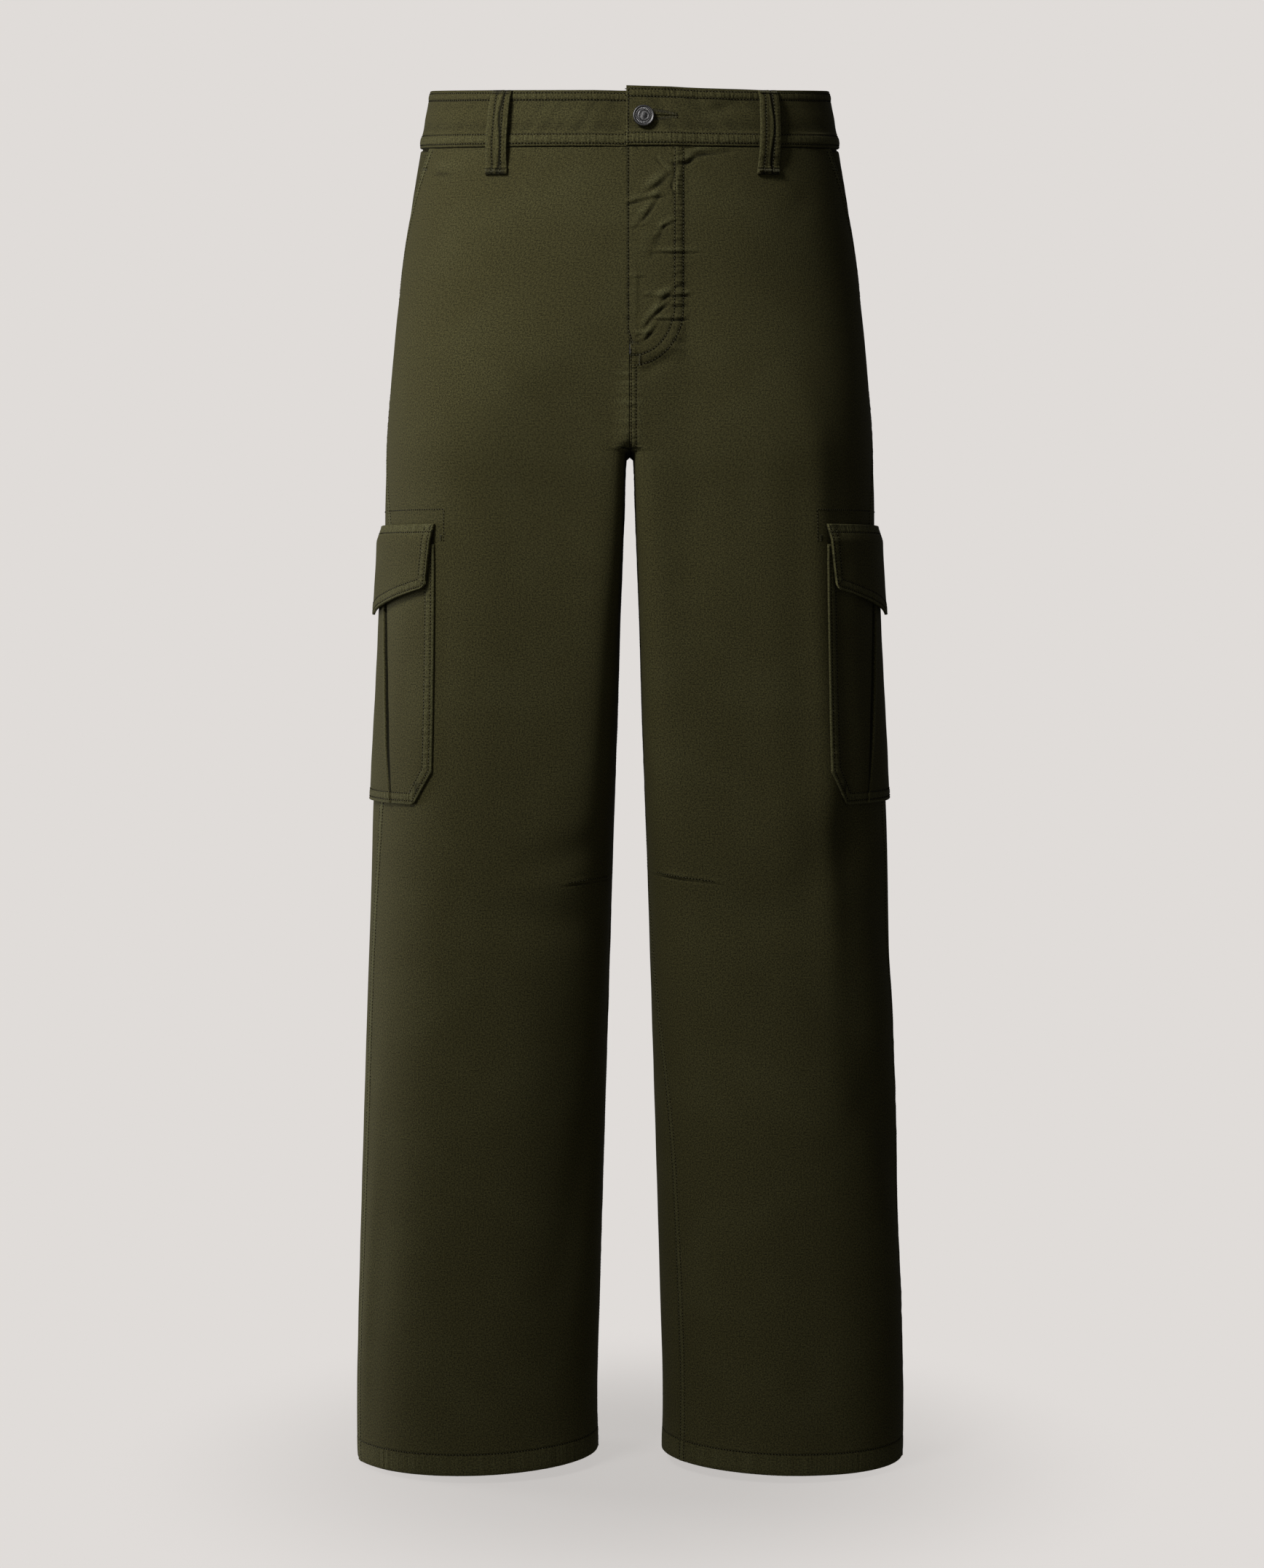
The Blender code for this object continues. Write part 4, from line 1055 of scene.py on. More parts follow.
def add_panel(name, side, over_front):
    """A front or back leg panel from the waist seam to the hem."""
    drops = panel_drops(side, over_front)
    seam_room = degrees(side, drops, outer_seam(side, drops), SEAM_GAP / 2)
    if over_front:
        outer = front_side_edge(side, drops) + np.where(drops < MOUTH_END, 0.0, seam_room)
        centre = turn_at(drops, centre_front_edge(side, drops), True)
        inner = inner_seam(side, drops) - degrees(side, drops, inner_seam(side, drops), SEAM_GAP / 2)
    else:
        outer = outer_seam(side, drops) - seam_room
        centre = turn_at(drops, SEAM_GAP / 2, False)
        inner = inner_seam(side, drops) - 360.0
        inner = inner + degrees(side, drops, inner, SEAM_GAP / 2)
    nearer = np.minimum(centre, inner) if over_front else np.maximum(centre, inner)
    end = np.where(drops < CROTCH_DROP, nearer, inner)
    fly = np.arange(FLY_FINE_WIDTH, -0.1, -FLY_FINE_STEP) if over_front and side > 0 else (0.0,)
    near_start = SEWN_EDGE if over_front else PLAIN_EDGE
    near_end = SEWN_EDGE if over_front or side > 0 else PLAIN_EDGE
    corner = turn_at(drops, near_end[-1] + CORNER_ROOM, over_front)
    corner = np.minimum(corner, CORNER_TURN) if over_front else np.maximum(corner, -CORNER_TURN)
    turns, away, widths = spread_columns(
        side, drops, outer, end, corner, near_start, fly, near_end, COLUMN_STEP)
    drops = np.repeat(drops[:, None], turns.shape[1], axis=1)
    lift = fly_raise(side, drops, turns)
    fine = panel_relief(side, over_front, drops, turns, away, widths)
    plain = cloth(side, drops, turns, lift)
    fine = fine + stitch_dips(plain, ROWS[name])
    sharp = crease_height(smooth_face(side, drops, turns), SHARP_CREASES)
    # `proud` paints the relief into the colour: raised strips paler as wear, and seam lines, stitch dips
    # and sharp crease troughs darker as painted shade.
    proud = fine + SHARP_CREASE_PAINTED_SHADE_AND_WEAR * sharp
    along, pinch = panel_pinch(side, over_front, drops, turns, away, widths)
    fine = fine + PANEL_MOTTLE * mottle(plain, PANEL_MOTTLE_SIZE, 3.0 + side)
    thickness = hem_thickness(drops)
    far = widths[:, None] - away
    settle = LINING_SETTLE * ease(np.minimum(away, far) / 3.0)
    faces = []
    for out in (lift + fine, lift + settle * fine - thickness):
        face = cloth(side, drops, turns, out)
        closed = CENTRE_CLOSED_LEFT if side > 0 else CENTRE_CLOSED_RIGHT
        rows = (drops[:, 0] < CROTCH_DROP) & (drops[:, 0] > (closed if over_front else 0.0))
        face[rows, :, 0] = side * np.maximum(side * face[rows, :, 0], SEAM_GAP / 2)
        face[rows, -1, 0] = side * SEAM_GAP / 2
        faces.append(face)
    outer_face, inner_face = faces
    if not over_front:
        outer_face, inner_face = outer_face[:, ::-1], inner_face[:, ::-1]
        away, drops, proud, along, pinch = (part[:, ::-1] for part in (away, drops, proud, along, pinch))
    return add_shell(f"{name}_cloth", side, outer_face, inner_face, away, drops, proud, along, pinch)


PIECES = {}
for side, word in SIDES:
    PIECES[f"front_{word}"] = add_panel(f"front_{word}", side, True)
    PIECES[f"back_{word}"] = add_panel(f"back_{word}", side, False)

# %% [markdown]
# ## The waistband
# The waistband is a folded strip in two halves that meet at the centre back. The left end laps
# over the right one at the front. Two close rows of stitches run under its top edge and two more
# over its lower edge, where the cloth between them puffs into a cord-like ridge. A table gives its
# face in section, and each pair of rows has a zone of puckers.

# %% The waistband's section and its lap
BAND_UNDERLAP = 28.0
BAND_LAP_EASE = 24.0
BAND_LAP_RAISE = 2.5
BAND_LAP_SINK = 2.0
BAND_LAP_LIFT = 3.0
BAND_LIFT_RUN = 105.0
BAND_LAP_MARGIN = 2.0
BAND_LINING = -2.2
BAND_ROWS = (2.5, 8.0, 34.4, 41.7)
BAND_END_ROW = 1.6
BAND_END_REACH = (2.6, 41.6)
FacePoint = namedtuple("FacePoint", "drop out")
BAND_FACE = (
    FacePoint(0.0, -0.6),
    FacePoint(0.5, 0.4),
    FacePoint(1.5, 0.8),
    FacePoint(5.0, 1.05),
    FacePoint(9.5, 0.6),
    FacePoint(20.0, 0.65),
    FacePoint(33.0, 0.7),
    FacePoint(36.0, 1.35),
    FacePoint(39.5, 1.4),
    FacePoint(42.5, 0.95),
    FacePoint(43.4, 0.6),
    FacePoint(BAND_HEIGHT - GAP / 2, -0.1),
)


def near_lap(side, from_centre):
    """1 where the waistband's two ends lie over each other, easing to 0 away from them."""
    lap = BAND_UNDERLAP if side > 0 else FLY_LAP
    return 1.0 - ease((from_centre - lap - BAND_LAP_MARGIN) / BAND_LAP_EASE)


def band_shift(side, drop, turn):
    """How far the band's lap moves a point out, and the drop it has then."""
    from_centre = smooth_face(1, BAND_HEIGHT / 2.0, turn)[..., 0]
    over_front = np.asarray(turn) > 0.0
    near = np.where(over_front, near_lap(side, from_centre), 0.0)
    shift = BAND_LAP_RAISE * near if side > 0 else -BAND_LAP_SINK * near
    lift = 0.0
    if side > 0:
        slope = np.clip(1.0 - (from_centre + FLY_LAP) / BAND_LIFT_RUN, 0.0, 1.0)
        lift = np.where(over_front, BAND_LAP_LIFT * slope, 0.0)
    return shift, drop - lift * (1.0 - drop / BAND_HEIGHT)


def band_ends(side):
    """The turns at the back and the front end of one half of the band."""
    middle = np.array((BAND_HEIGHT / 2.0,))
    past = FLY_LAP if side > 0 else BAND_UNDERLAP
    return turn_at(middle, GAP / 2, False)[0], turn_at(middle, -past, True)[0]


def band_path(side, drop, turn):
    """A planned row as points on the band."""
    drop, turn = np.broadcast_arrays(np.asarray(drop, float), turn)
    shift, raised = band_shift(side, drop, turn)
    return resampled(cloth(side, raised, turn, read(BAND_FACE, "out", drop) + shift))


def band_rows(side):
    """The stitch rows on one half of the band."""
    first, last = band_ends(side)
    turns = np.linspace(first + 0.3, last - 0.3, 400)
    rows = [band_path(side, drop, turns) for drop in BAND_ROWS]
    if side > 0:
        edge = last - degrees(1, BAND_HEIGHT / 2.0, last, BAND_END_ROW)
        rows.append(band_path(side, np.linspace(*BAND_END_REACH, 60), edge))
    return rows


print("band:", BAND_HEIGHT, "mm high, with rows", BAND_ROWS, "mm from its top")

# %% Build the waistband
BAND_STEPS = ((0.0, 1.0, 0.25), (1.0, 9.2, 0.5), (9.2, 33.2, 1.6), (33.2, 43.0, 0.5), (43.0, 43.85, 0.2))
BAND_COLUMN_STEP = 2.0
BAND_WEAVE_START = 500.0
BAND_CALM_PUCKER = 0.12
BAND_PAINTED_SHADE_AND_WEAR = 0.4
BAND_PAINTED_SHADE_FROM = 0.75
Zone = namedtuple("Zone", "drop spread pucker pace seed")
BAND_ZONES = (
    Zone(5.2, 3.6, 0.26, 1.35, 2.2),
    Zone(38.4, 4.2, 0.28, 1.15, 3.3),
)


def add_waistband(name, side):
    """Half the waistband, from the centre back round to its end at the centre front."""
    first, last = band_ends(side)
    ends = (np.array((first,)), np.array((last,)))
    turns, away, widths = spread_columns(
        side, np.array((BAND_HEIGHT / 2.0,)), *ends, np.array((0.0,)), PLAIN_EDGE[:4], (0.0,),
        SEWN_EDGE[:8], BAND_COLUMN_STEP)
    turns, away, drops = np.broadcast_arrays(turns, away, steps(*BAND_STEPS)[:, None])
    face = read(BAND_FACE, "out", drops)
    shift, raised = band_shift(side, drops, turns)
    edge = np.minimum(away, widths[:, None] - away)
    fine, calm = 0.0, 1.0
    for zone in BAND_ZONES:
        near = np.exp(-((drops - zone.drop) / zone.spread) ** 2)
        fine = fine + zone.pucker * ripple(away * zone.pace, zone.seed + side) * near
        calm = calm - near
    fine = fine + BAND_CALM_PUCKER * ripple(away * 0.5 + drops * 0.3, 1.1 + side) * calm
    plain = cloth(side, raised, turns, face + shift)
    fine = fine + rolled(edge) + stitch_dips(plain, ROWS[name])
    # The band's low top edge, stitch dips and pucker troughs are darkened as painted shade, and its
    # raised cords paler as wear.
    proud = fine + worn(edge) + BAND_PAINTED_SHADE_AND_WEAR * (face - BAND_PAINTED_SHADE_FROM)
    outer = cloth(side, raised, turns, face + shift + fine)
    inner = cloth(side, raised, turns, BAND_LINING + shift)
    pinch = np.maximum(strip(drops, *BAND_ROWS[:2]), strip(drops, *BAND_ROWS[2:]))
    return add_shell(f"{name}_cloth", side, outer, inner, drops + BAND_WEAVE_START, away, proud, away,
                     pinch)


for side, word in SIDES:
    ROWS[f"waistband_{word}"] = band_rows(side)
    PIECES[f"waistband_{word}"] = add_waistband(f"waistband_{word}", side)

# %% [markdown]
# ## Hand pockets
# The front panel's slanted edge is the mouth of a hand pocket, and the cloth behind it is the
# pocket's facing, level with the back panel where it shows. Its top is tucked in behind the
# waistband, so that no light comes through between them.

# %% Build the pocket facings
FACING_UNDER = 7.0
FACING_BELOW = 6.0
FACING_MARGIN = 1.5
FACING_SLOPE = 8.0
FACING_CLEAR = 1.0
FACING_TUCK = 2.4
FACING_TUCK_DEPTH = 2.7
FACING_PUCKER = 0.15
FACING_SINK = 0.2
FACING_WEAVE_START = 300.0


def add_facing(name, side):
    """The cloth in a pocket's mouth: level with the back panel, and sinking under the front."""
    drops = steps((BAND_HEIGHT - FACING_TUCK, BAND_HEIGHT + FACING_TUCK, 0.8),
                  (BAND_HEIGHT + FACING_TUCK, MOUTH_END + FACING_BELOW, 2.0))[:, None]
    start = outer_seam(side, drops)
    start = start + degrees(side, drops, start, SEAM_GAP)
    mouth = front_side_edge(side, drops)
    share = np.linspace(0.0, 1.0, 19)
    shown = start + np.maximum(mouth - FACING_MARGIN - start, 0.5) * share
    turns = np.concatenate([shown, mouth + FACING_UNDER * np.linspace(0.15, 1.0, 6)], axis=1)
    drops = np.broadcast_to(drops, turns.shape)
    top = -(CLOTH + FACING_CLEAR) * ease((turns - mouth + FACING_MARGIN) / FACING_SLOPE + 1.0)
    pucker = FACING_PUCKER * ripple(drops * 0.5, 2.0 + side) * ease((turns - start) / 6.0)
    tuck = FACING_TUCK_DEPTH * (1.0 - ease((drops - BAND_HEIGHT + 0.2) / FACING_TUCK))
    fine = pucker - FACING_SINK - tuck
    outer = cloth(side, drops, turns, top + fine)
    inner = cloth(side, drops, turns, top - CLOTH)
    weave = turns * MM_PER_TURN + FACING_WEAVE_START
    # Passed as `proud`, the facing's sink and its tuck under the band darken its colour as painted shade.
    return add_shell(f"{name}_cloth", side, outer, inner, weave, drops, fine)


for side, word in SIDES:
    PIECES[f"pocket_facing_{word}"] = add_facing(f"pocket_facing_{word}", side)

# %% [markdown]
# ## Cargo pockets and their flaps
# A cargo pocket is a patch with cut-off lower corners and a box pleat down its middle, so it can
# swell. Its flap is sewn level along the top, ends in a blunt point below, and stands off the
# pocket. Both are laid out flat, by the distance across and down, and then bent round the thigh.
# Along each side of the pleat, the fold shows as a raised lip beside a slot, whose dark is partly its
# depth and partly painted shade.

# %% The cargo pocket's sizes and pleat
POCKET_TURN = 6.0
POCKET_TURN_BELOW = 9.5
POCKET_HALF = 91.0
POCKET_TOP = 344.5
POCKET_BOTTOM = 538.5
POCKET_CHAMFER_WIDTH = 16.0
POCKET_CHAMFER_HEIGHT = 25.0
POCKET_CLEAR = 0.8
PLEAT_TOP = 16.5
PLEAT_BOTTOM = 48.5
PLEAT_STEP = 1.5
PLEAT_RISE = 1.3
PLEAT_SEWN_FLAT = 0.45
PLEAT_SEWN_FROM = 0.7
POCKET_ROWS = (2.8, 8.4)
POCKET_DEPTH = POCKET_BOTTOM - POCKET_TOP
POCKET_SLANT = math.hypot(POCKET_CHAMFER_WIDTH, POCKET_CHAMFER_HEIGHT)
PLEAT_OPEN_FROM = 0.12
PLEAT_OPEN_RUN = 0.8
PLEAT_WANDER = 0.9
PleatMark = namedtuple("PleatMark", "beside spread held opened")
PLEAT_LIP = PleatMark(-2.0, 1.8, 0.15, 0.3)
PLEAT_SLOT = PleatMark(0.9, 1.15, 0.5, 1.7)


def past_pleat(across, down):
    """How far past the pleat's folded edge a point is."""
    return np.abs(across) - PLEAT_TOP - (PLEAT_BOTTOM - PLEAT_TOP) * down


def pleat_rise(across, down):
    """The box pleat: the pocket's middle stands proud of its sides."""
    held = 1.0 - PLEAT_SEWN_FLAT * ease((down - PLEAT_SEWN_FROM) / (1.0 - PLEAT_SEWN_FROM))
    return PLEAT_RISE * held * (1.0 - ease(past_pleat(across, down) / PLEAT_STEP))


def pleat_mark(mark, across, down):
    """The lip or the slot of the pleat's edge, strongest where the pleat stands open."""
    opened = np.sin(np.pi * np.clip((down - PLEAT_OPEN_FROM) / PLEAT_OPEN_RUN, 0.0, 1.0))
    off = past_pleat(across, down) - PLEAT_WANDER * np.sin(down * 5.0 + 1.0)
    return np.exp(-((off - mark.beside) / mark.spread) ** 2) * (mark.held + mark.opened * opened)


print("cargo pocket:", 2.0 * POCKET_HALF, "x", POCKET_DEPTH, "mm")

# %% The cargo pocket's outline and rows


def pocket_length(across):
    """The pocket's depth at a distance from its middle, less at the cut-off corners."""
    flat = POCKET_HALF - POCKET_CHAMFER_WIDTH
    corner = np.clip((np.abs(across) - flat) / POCKET_CHAMFER_WIDTH, 0.0, 1.0)
    return POCKET_DEPTH - POCKET_CHAMFER_HEIGHT * corner


def pocket_place(across, depth):
    """Drop and turn of a point on the flat pocket."""
    middle = POCKET_TURN + (POCKET_TURN_BELOW - POCKET_TURN) * depth / pocket_length(across)
    return POCKET_TOP + depth, middle + across / MM_PER_TURN


def inset_outline(inset):
    """The pocket's outline without its top, moved in by `inset`."""
    side = POCKET_HALF - inset
    corner_up = POCKET_DEPTH - POCKET_CHAMFER_HEIGHT
    corner_up -= inset * (POCKET_SLANT - POCKET_CHAMFER_HEIGHT) / POCKET_CHAMFER_WIDTH
    corner_in = POCKET_HALF - POCKET_CHAMFER_WIDTH
    corner_in -= inset * (POCKET_SLANT - POCKET_CHAMFER_WIDTH) / POCKET_CHAMFER_HEIGHT
    half = [(side, 3.0), (side, corner_up), (corner_in, POCKET_DEPTH - inset)]
    return half + [(-across, depth) for across, depth in reversed(half)]


def walked(corners, step=1.0):
    """Points along straight lines from corner to corner."""
    corners = np.array(corners, float)
    parts = []
    for start, end in zip(corners[:-1], corners[1:]):
        count = max(int(np.linalg.norm(end - start) / step), 2)
        parts.append(start + (end - start) * np.linspace(0.0, 1.0, count, endpoint=False)[:, None])
    return np.concatenate(parts + [corners[-1:]])


def pocket_rows(side):
    """The stitch rows of a pocket."""
    rows = []
    for inset in POCKET_ROWS:
        across, depth = walked(inset_outline(inset)).T
        drops, turns = pocket_place(across, depth)
        out = POCKET_CLEAR + CLOTH + pleat_rise(across, depth / pocket_length(across))
        rows.append(resampled(cloth(side, drops, turns, out)))
    return rows


def outline_distance(across, depth):
    """How far a point is from the pocket's sewn outline."""
    side = POCKET_HALF - np.abs(across)
    bottom = POCKET_DEPTH - depth
    corner = (POCKET_CHAMFER_HEIGHT * side
              + POCKET_CHAMFER_WIDTH * (bottom - POCKET_CHAMFER_HEIGHT)) / POCKET_SLANT
    return np.minimum(np.minimum(side, bottom), corner)


print("middle of the pocket from its outline:", outline_distance(0.0, POCKET_DEPTH / 2.0), "mm")

# %% Build the cargo pockets
POCKET_STRIP = SeamStrip(8.0, 1.9, 0.35, 0.16)
POCKET_COLUMNS = ((0.0, 15.0, 2.5), (15.0, 53.0, 0.76), (53.0, 79.0, 2.6), (79.0, 90.0, 0.7),
                  (90.0, POCKET_HALF, 0.25))
POCKET_LINES = ((0.0, 0.9, 0.0125), (0.9, 0.99, 0.004), (0.99, 1.0, 0.0015))
POCKET_MOTTLE = 0.3
POCKET_MOTTLE_SIZE = 17.0


def flat_grid(columns, lines):
    """A grid over a piece laid out flat: the distance across it, and the share of the way down."""
    half = steps(*columns)
    down, across = np.meshgrid(steps(*lines), np.concatenate([-half[:0:-1], half]), indexing="ij")
    return across, down


def flat_mottle(across, depth, size, seed):
    """The soft uneven height of a piece that was laid out flat."""
    return mottle(np.stack([across, depth, across * 0.3], axis=-1), size, seed)


def add_cargo_pocket(name, side):
    """The cargo pocket's body."""
    across, down = flat_grid(POCKET_COLUMNS, POCKET_LINES)
    depth = pocket_length(across) * down
    drops, turns = pocket_place(across, depth)
    edge = outline_distance(across, depth)
    along = np.where(POCKET_DEPTH - depth < POCKET_HALF - np.abs(across), across, depth)
    fine = rolled(edge) + seam_strip(edge, along, POCKET_STRIP, side)
    fine = fine + pleat_mark(PLEAT_LIP, across, down) - pleat_mark(PLEAT_SLOT, across, down)
    base = POCKET_CLEAR + CLOTH + pleat_rise(across, down)
    fine = fine + stitch_dips(cloth(side, drops, turns, base), ROWS[name])
    # The pleat's slot, stitch dips and seam troughs darken the colour as painted shade, and the lip and
    # worn edges pale it.
    proud = fine + worn(edge)
    fine = fine + POCKET_MOTTLE * flat_mottle(across, depth, POCKET_MOTTLE_SIZE, 2.0 + side)
    outer = cloth(side, drops, turns, base + fine)
    inner = cloth(side, drops, turns, POCKET_CLEAR)
    return add_shell(f"{name}_cloth", side, outer, inner, across, depth, proud, along,
                     strip(edge, 1.5, POCKET_ROWS[1]))


for side, word in SIDES:
    ROWS[f"cargo_pocket_{word}"] = pocket_rows(side)
    PIECES[f"cargo_pocket_{word}"] = add_cargo_pocket(f"cargo_pocket_{word}", side)

# %% Build the pocket flaps
FLAP_CLOTH = 2.0
FLAP_TOP = 329.5
FLAP_HALF = 91.5
FLAP_EDGE_HEIGHT = 47.0
FLAP_POINT_HEIGHT = 68.0
FLAP_TAPER = 4.0
FLAP_FLARE = 0.03
FLAP_OVER_POCKET = 3.5
FLAP_OVER_RUN = 13.0
FLAP_ROWS = (2.0, 7.6)
FLAP_TOP_ROW = 6.0
FLAP_CORNER = 5.0
FLAP_CORNER_CUT = 0.8
FLAP_SLOPE = (FLAP_POINT_HEIGHT - FLAP_EDGE_HEIGHT) / FLAP_HALF
FLAP_STRIP = SeamStrip(7.6, 3.7, 0.3, 0.14)
FLAP_TOP_STRIP = SeamStrip(6.4, 4.9, 0.4, 0.16)
FLAP_COLUMNS = ((0.0, 80.0, 1.9), (80.0, 90.4, 0.7), (90.4, FLAP_HALF, 0.25))
FLAP_LINES = ((0.0, 0.02, 0.005), (0.02, 0.14, 0.01), (0.14, 0.82, 0.028), (0.82, 0.98, 0.01),
              (0.98, 1.0, 0.004))
FLAP_MOTTLE = 0.25
FLAP_MOTTLE_SIZE = 15.0


def flap_length(across):
    """The flap's length at a distance from its middle, less where its corners are rounded."""
    corner = np.clip(1.0 - (FLAP_HALF - np.abs(across)) / FLAP_CORNER, 0.0, 1.0)
    rounding = FLAP_CORNER * (1.0 - np.sqrt(1.0 - corner ** 2))
    return FLAP_POINT_HEIGHT - FLAP_SLOPE * np.abs(across) - rounding


def flap_place(across, depth):
    """Drop, turn and distance off the leg of a point on the flat flap."""
    down = depth / flap_length(across)
    turns = POCKET_TURN + across * (1.0 - FLAP_TAPER / FLAP_HALF * down) / MM_PER_TURN
    inner = POCKET_CLEAR + FLAP_FLARE * depth + FLAP_OVER_POCKET * ease(depth / FLAP_OVER_RUN)
    return FLAP_TOP + depth, turns, inner


def flap_rows(side):
    """The stitch rows of a flap: two along its sides and its point, and one under its top."""
    lines = []
    for inset in FLAP_ROWS:
        edge = FLAP_HALF - inset
        low = inset * math.hypot(1.0, FLAP_SLOPE)
        cut = max(FLAP_CORNER - inset, 0.0) * FLAP_CORNER_CUT
        corner = flap_length(edge - cut) - low
        half = [(edge, 3.0), (edge, corner - cut * FLAP_CORNER_CUT), (edge - cut, corner),
                (0.0, FLAP_POINT_HEIGHT - low)]
        lines.append(walked([(-across, depth) for across, depth in half] + half[-2::-1]).T)
    across = np.linspace(-FLAP_HALF + 2.0, FLAP_HALF - 2.0, 160)
    lines.append((across, np.full(160, FLAP_TOP_ROW)))
    rows = []
    for across, depth in lines:
        drops, turns, inner = flap_place(across, depth)
        rows.append(resampled(cloth(side, drops, turns, inner + FLAP_CLOTH)))
    return rows


def add_cargo_flap(name, side):
    """The flap: sewn level along its top, pointed below, and standing off the pocket."""
    across, down = flat_grid(FLAP_COLUMNS, FLAP_LINES)
    depth = flap_length(across) * down
    drops, turns, inner_out = flap_place(across, depth)
    side_edge, low_edge = FLAP_HALF - np.abs(across), flap_length(across) - depth
    edge = np.minimum(side_edge, low_edge)
    along = np.where(low_edge < side_edge, across, depth)
    fine = rolled(edge) + rolled(depth) + seam_strip(edge, along, FLAP_STRIP, side)
    fine = fine + seam_strip(depth, across, FLAP_TOP_STRIP, side)
    fine = fine + stitch_dips(cloth(side, drops, turns, inner_out + FLAP_CLOTH), ROWS[name])
    # Stitch dips and troughs darken the colour as painted shade, and worn edges pale it.
    proud = fine + worn(edge) - rolled(depth)
    fine = fine + FLAP_MOTTLE * flat_mottle(across, depth, FLAP_MOTTLE_SIZE, 5.0 + side)
    outer = cloth(side, drops, turns, inner_out + FLAP_CLOTH + fine)
    inner = cloth(side, drops, turns, inner_out)
    along = np.where(depth < np.minimum(edge, FLAP_TOP_ROW), across, along)
    pinch = np.maximum(strip(edge, 1.5, FLAP_ROWS[1]), strip(depth, 1.0, FLAP_TOP_ROW))
    return add_shell(f"{name}_cloth", side, outer, inner, across, depth, proud, along, pinch)


for side, word in SIDES:
    ROWS[f"cargo_flap_{word}"] = flap_rows(side)
    PIECES[f"cargo_flap_{word}"] = add_cargo_flap(f"cargo_flap_{word}", side)

# %% [markdown]
# ## Belt loops
# A belt loop is a narrow strip folded from cloth. It is sewn at its top and at a doubled foot
# below the waistband, and stands off in between. Two rows run along it, and its face is rumpled
# and shows a wavering fold line, because the strip was washed after it was sewn.

# %% Sizes and places of the belt loops
LOOP_WIDTH = 16.2
LOOP_CLOTH = 1.6
LOOP_FOOT_EXTRA = 1.0
LOOP_FOOT_DROP = 60.3
LOOP_FOOT_SPREAD = 1.06
LOOP_END = 65.3
LOOP_ROWS = (-2.9, 3.6)
LOOP_TACK_DROPS = (2.6, 62.9)
LOOP_TACK_HALF = 6.8
LOOP_STEPS = ((0.8, 2.0, 0.3), (2.0, 58.0, 1.0), (58.0, 64.3, 0.5), (64.3, LOOP_END, 0.2))
LOOP_EDGE = (0.0, 0.2, 0.5)
LOOP_LINE_AT = 2.4
LOOP_LINE_DEPTH = 0.8
LOOP_LINE_WIDTH = 0.8
LOOP_LIP_AT = 2.0
LOOP_LIP = 0.3
LOOP_LIP_WIDTH = 1.2
LOOP_PUCKER = 0.22
LOOP_PUCKER_AT = 5.5
LOOP_PUCKER_WIDTH = 2.5
LOOP_TACK_DIP = 0.6
LOOP_TACK_BESIDE = 1.6
LOOP_TACK_WIDTH = 0.5
LOOP_PINCH = 0.8
LOOP_PINCHED = (2.0, 6.5)
LOOP_PATH = (
    FacePoint(0.8, 1.4),
    FacePoint(5.0, 3.0),
    FacePoint(12.0, 4.1),
    FacePoint(26.0, 4.4),
    FacePoint(42.0, 4.2),
    FacePoint(51.0, 3.0),
    FacePoint(57.6, 1.2),
    FacePoint(LOOP_FOOT_DROP, 0.6),
    FacePoint(LOOP_END, 0.6),
)
Loop = namedtuple("Loop", "name side from_centre lean over_front")
LOOPS = (
    Loop("belt_loop_front_right", -1, 94.2, 0.034, True),
    Loop("belt_loop_front_left", 1, 100.6, 0.11, True),
    Loop("belt_loop_back_right", -1, 92.0, 0.0, False),
    Loop("belt_loop_back_left", 1, 92.0, 0.0, False),
    Loop("belt_loop_centre_back", 1, 0.0, 0.0, False),
)
print("belt loops:", len(LOOPS))

# %% Build the belt loops


def loop_place(loop, drop, across):
    """Turn, distance off the cloth and thickness of a point on a loop."""
    middle = np.array((BAND_HEIGHT / 2.0,))
    turn = turn_at(middle, loop.from_centre, loop.over_front)[0]
    per_mm = degrees(loop.side, middle, turn, 1.0)[0]
    foot = ease(drop - LOOP_FOOT_DROP + 1.0)
    leaning = loop.lean * (drop - middle)
    turns = turn + per_mm * (leaning + across * (1.0 + (LOOP_FOOT_SPREAD - 1.0) * foot))
    return turns, read(LOOP_PATH, "out", drop), LOOP_CLOTH + LOOP_FOOT_EXTRA * foot


def loop_rows(loop):
    """The two rows along a loop."""
    drops = np.linspace(2.0, LOOP_END - 1.2, 90)
    rows = []
    for across in LOOP_ROWS:
        turns, out, thickness = loop_place(loop, drops, across)
        rows.append(resampled(cloth(loop.side, drops, turns, out + thickness)))
    return rows


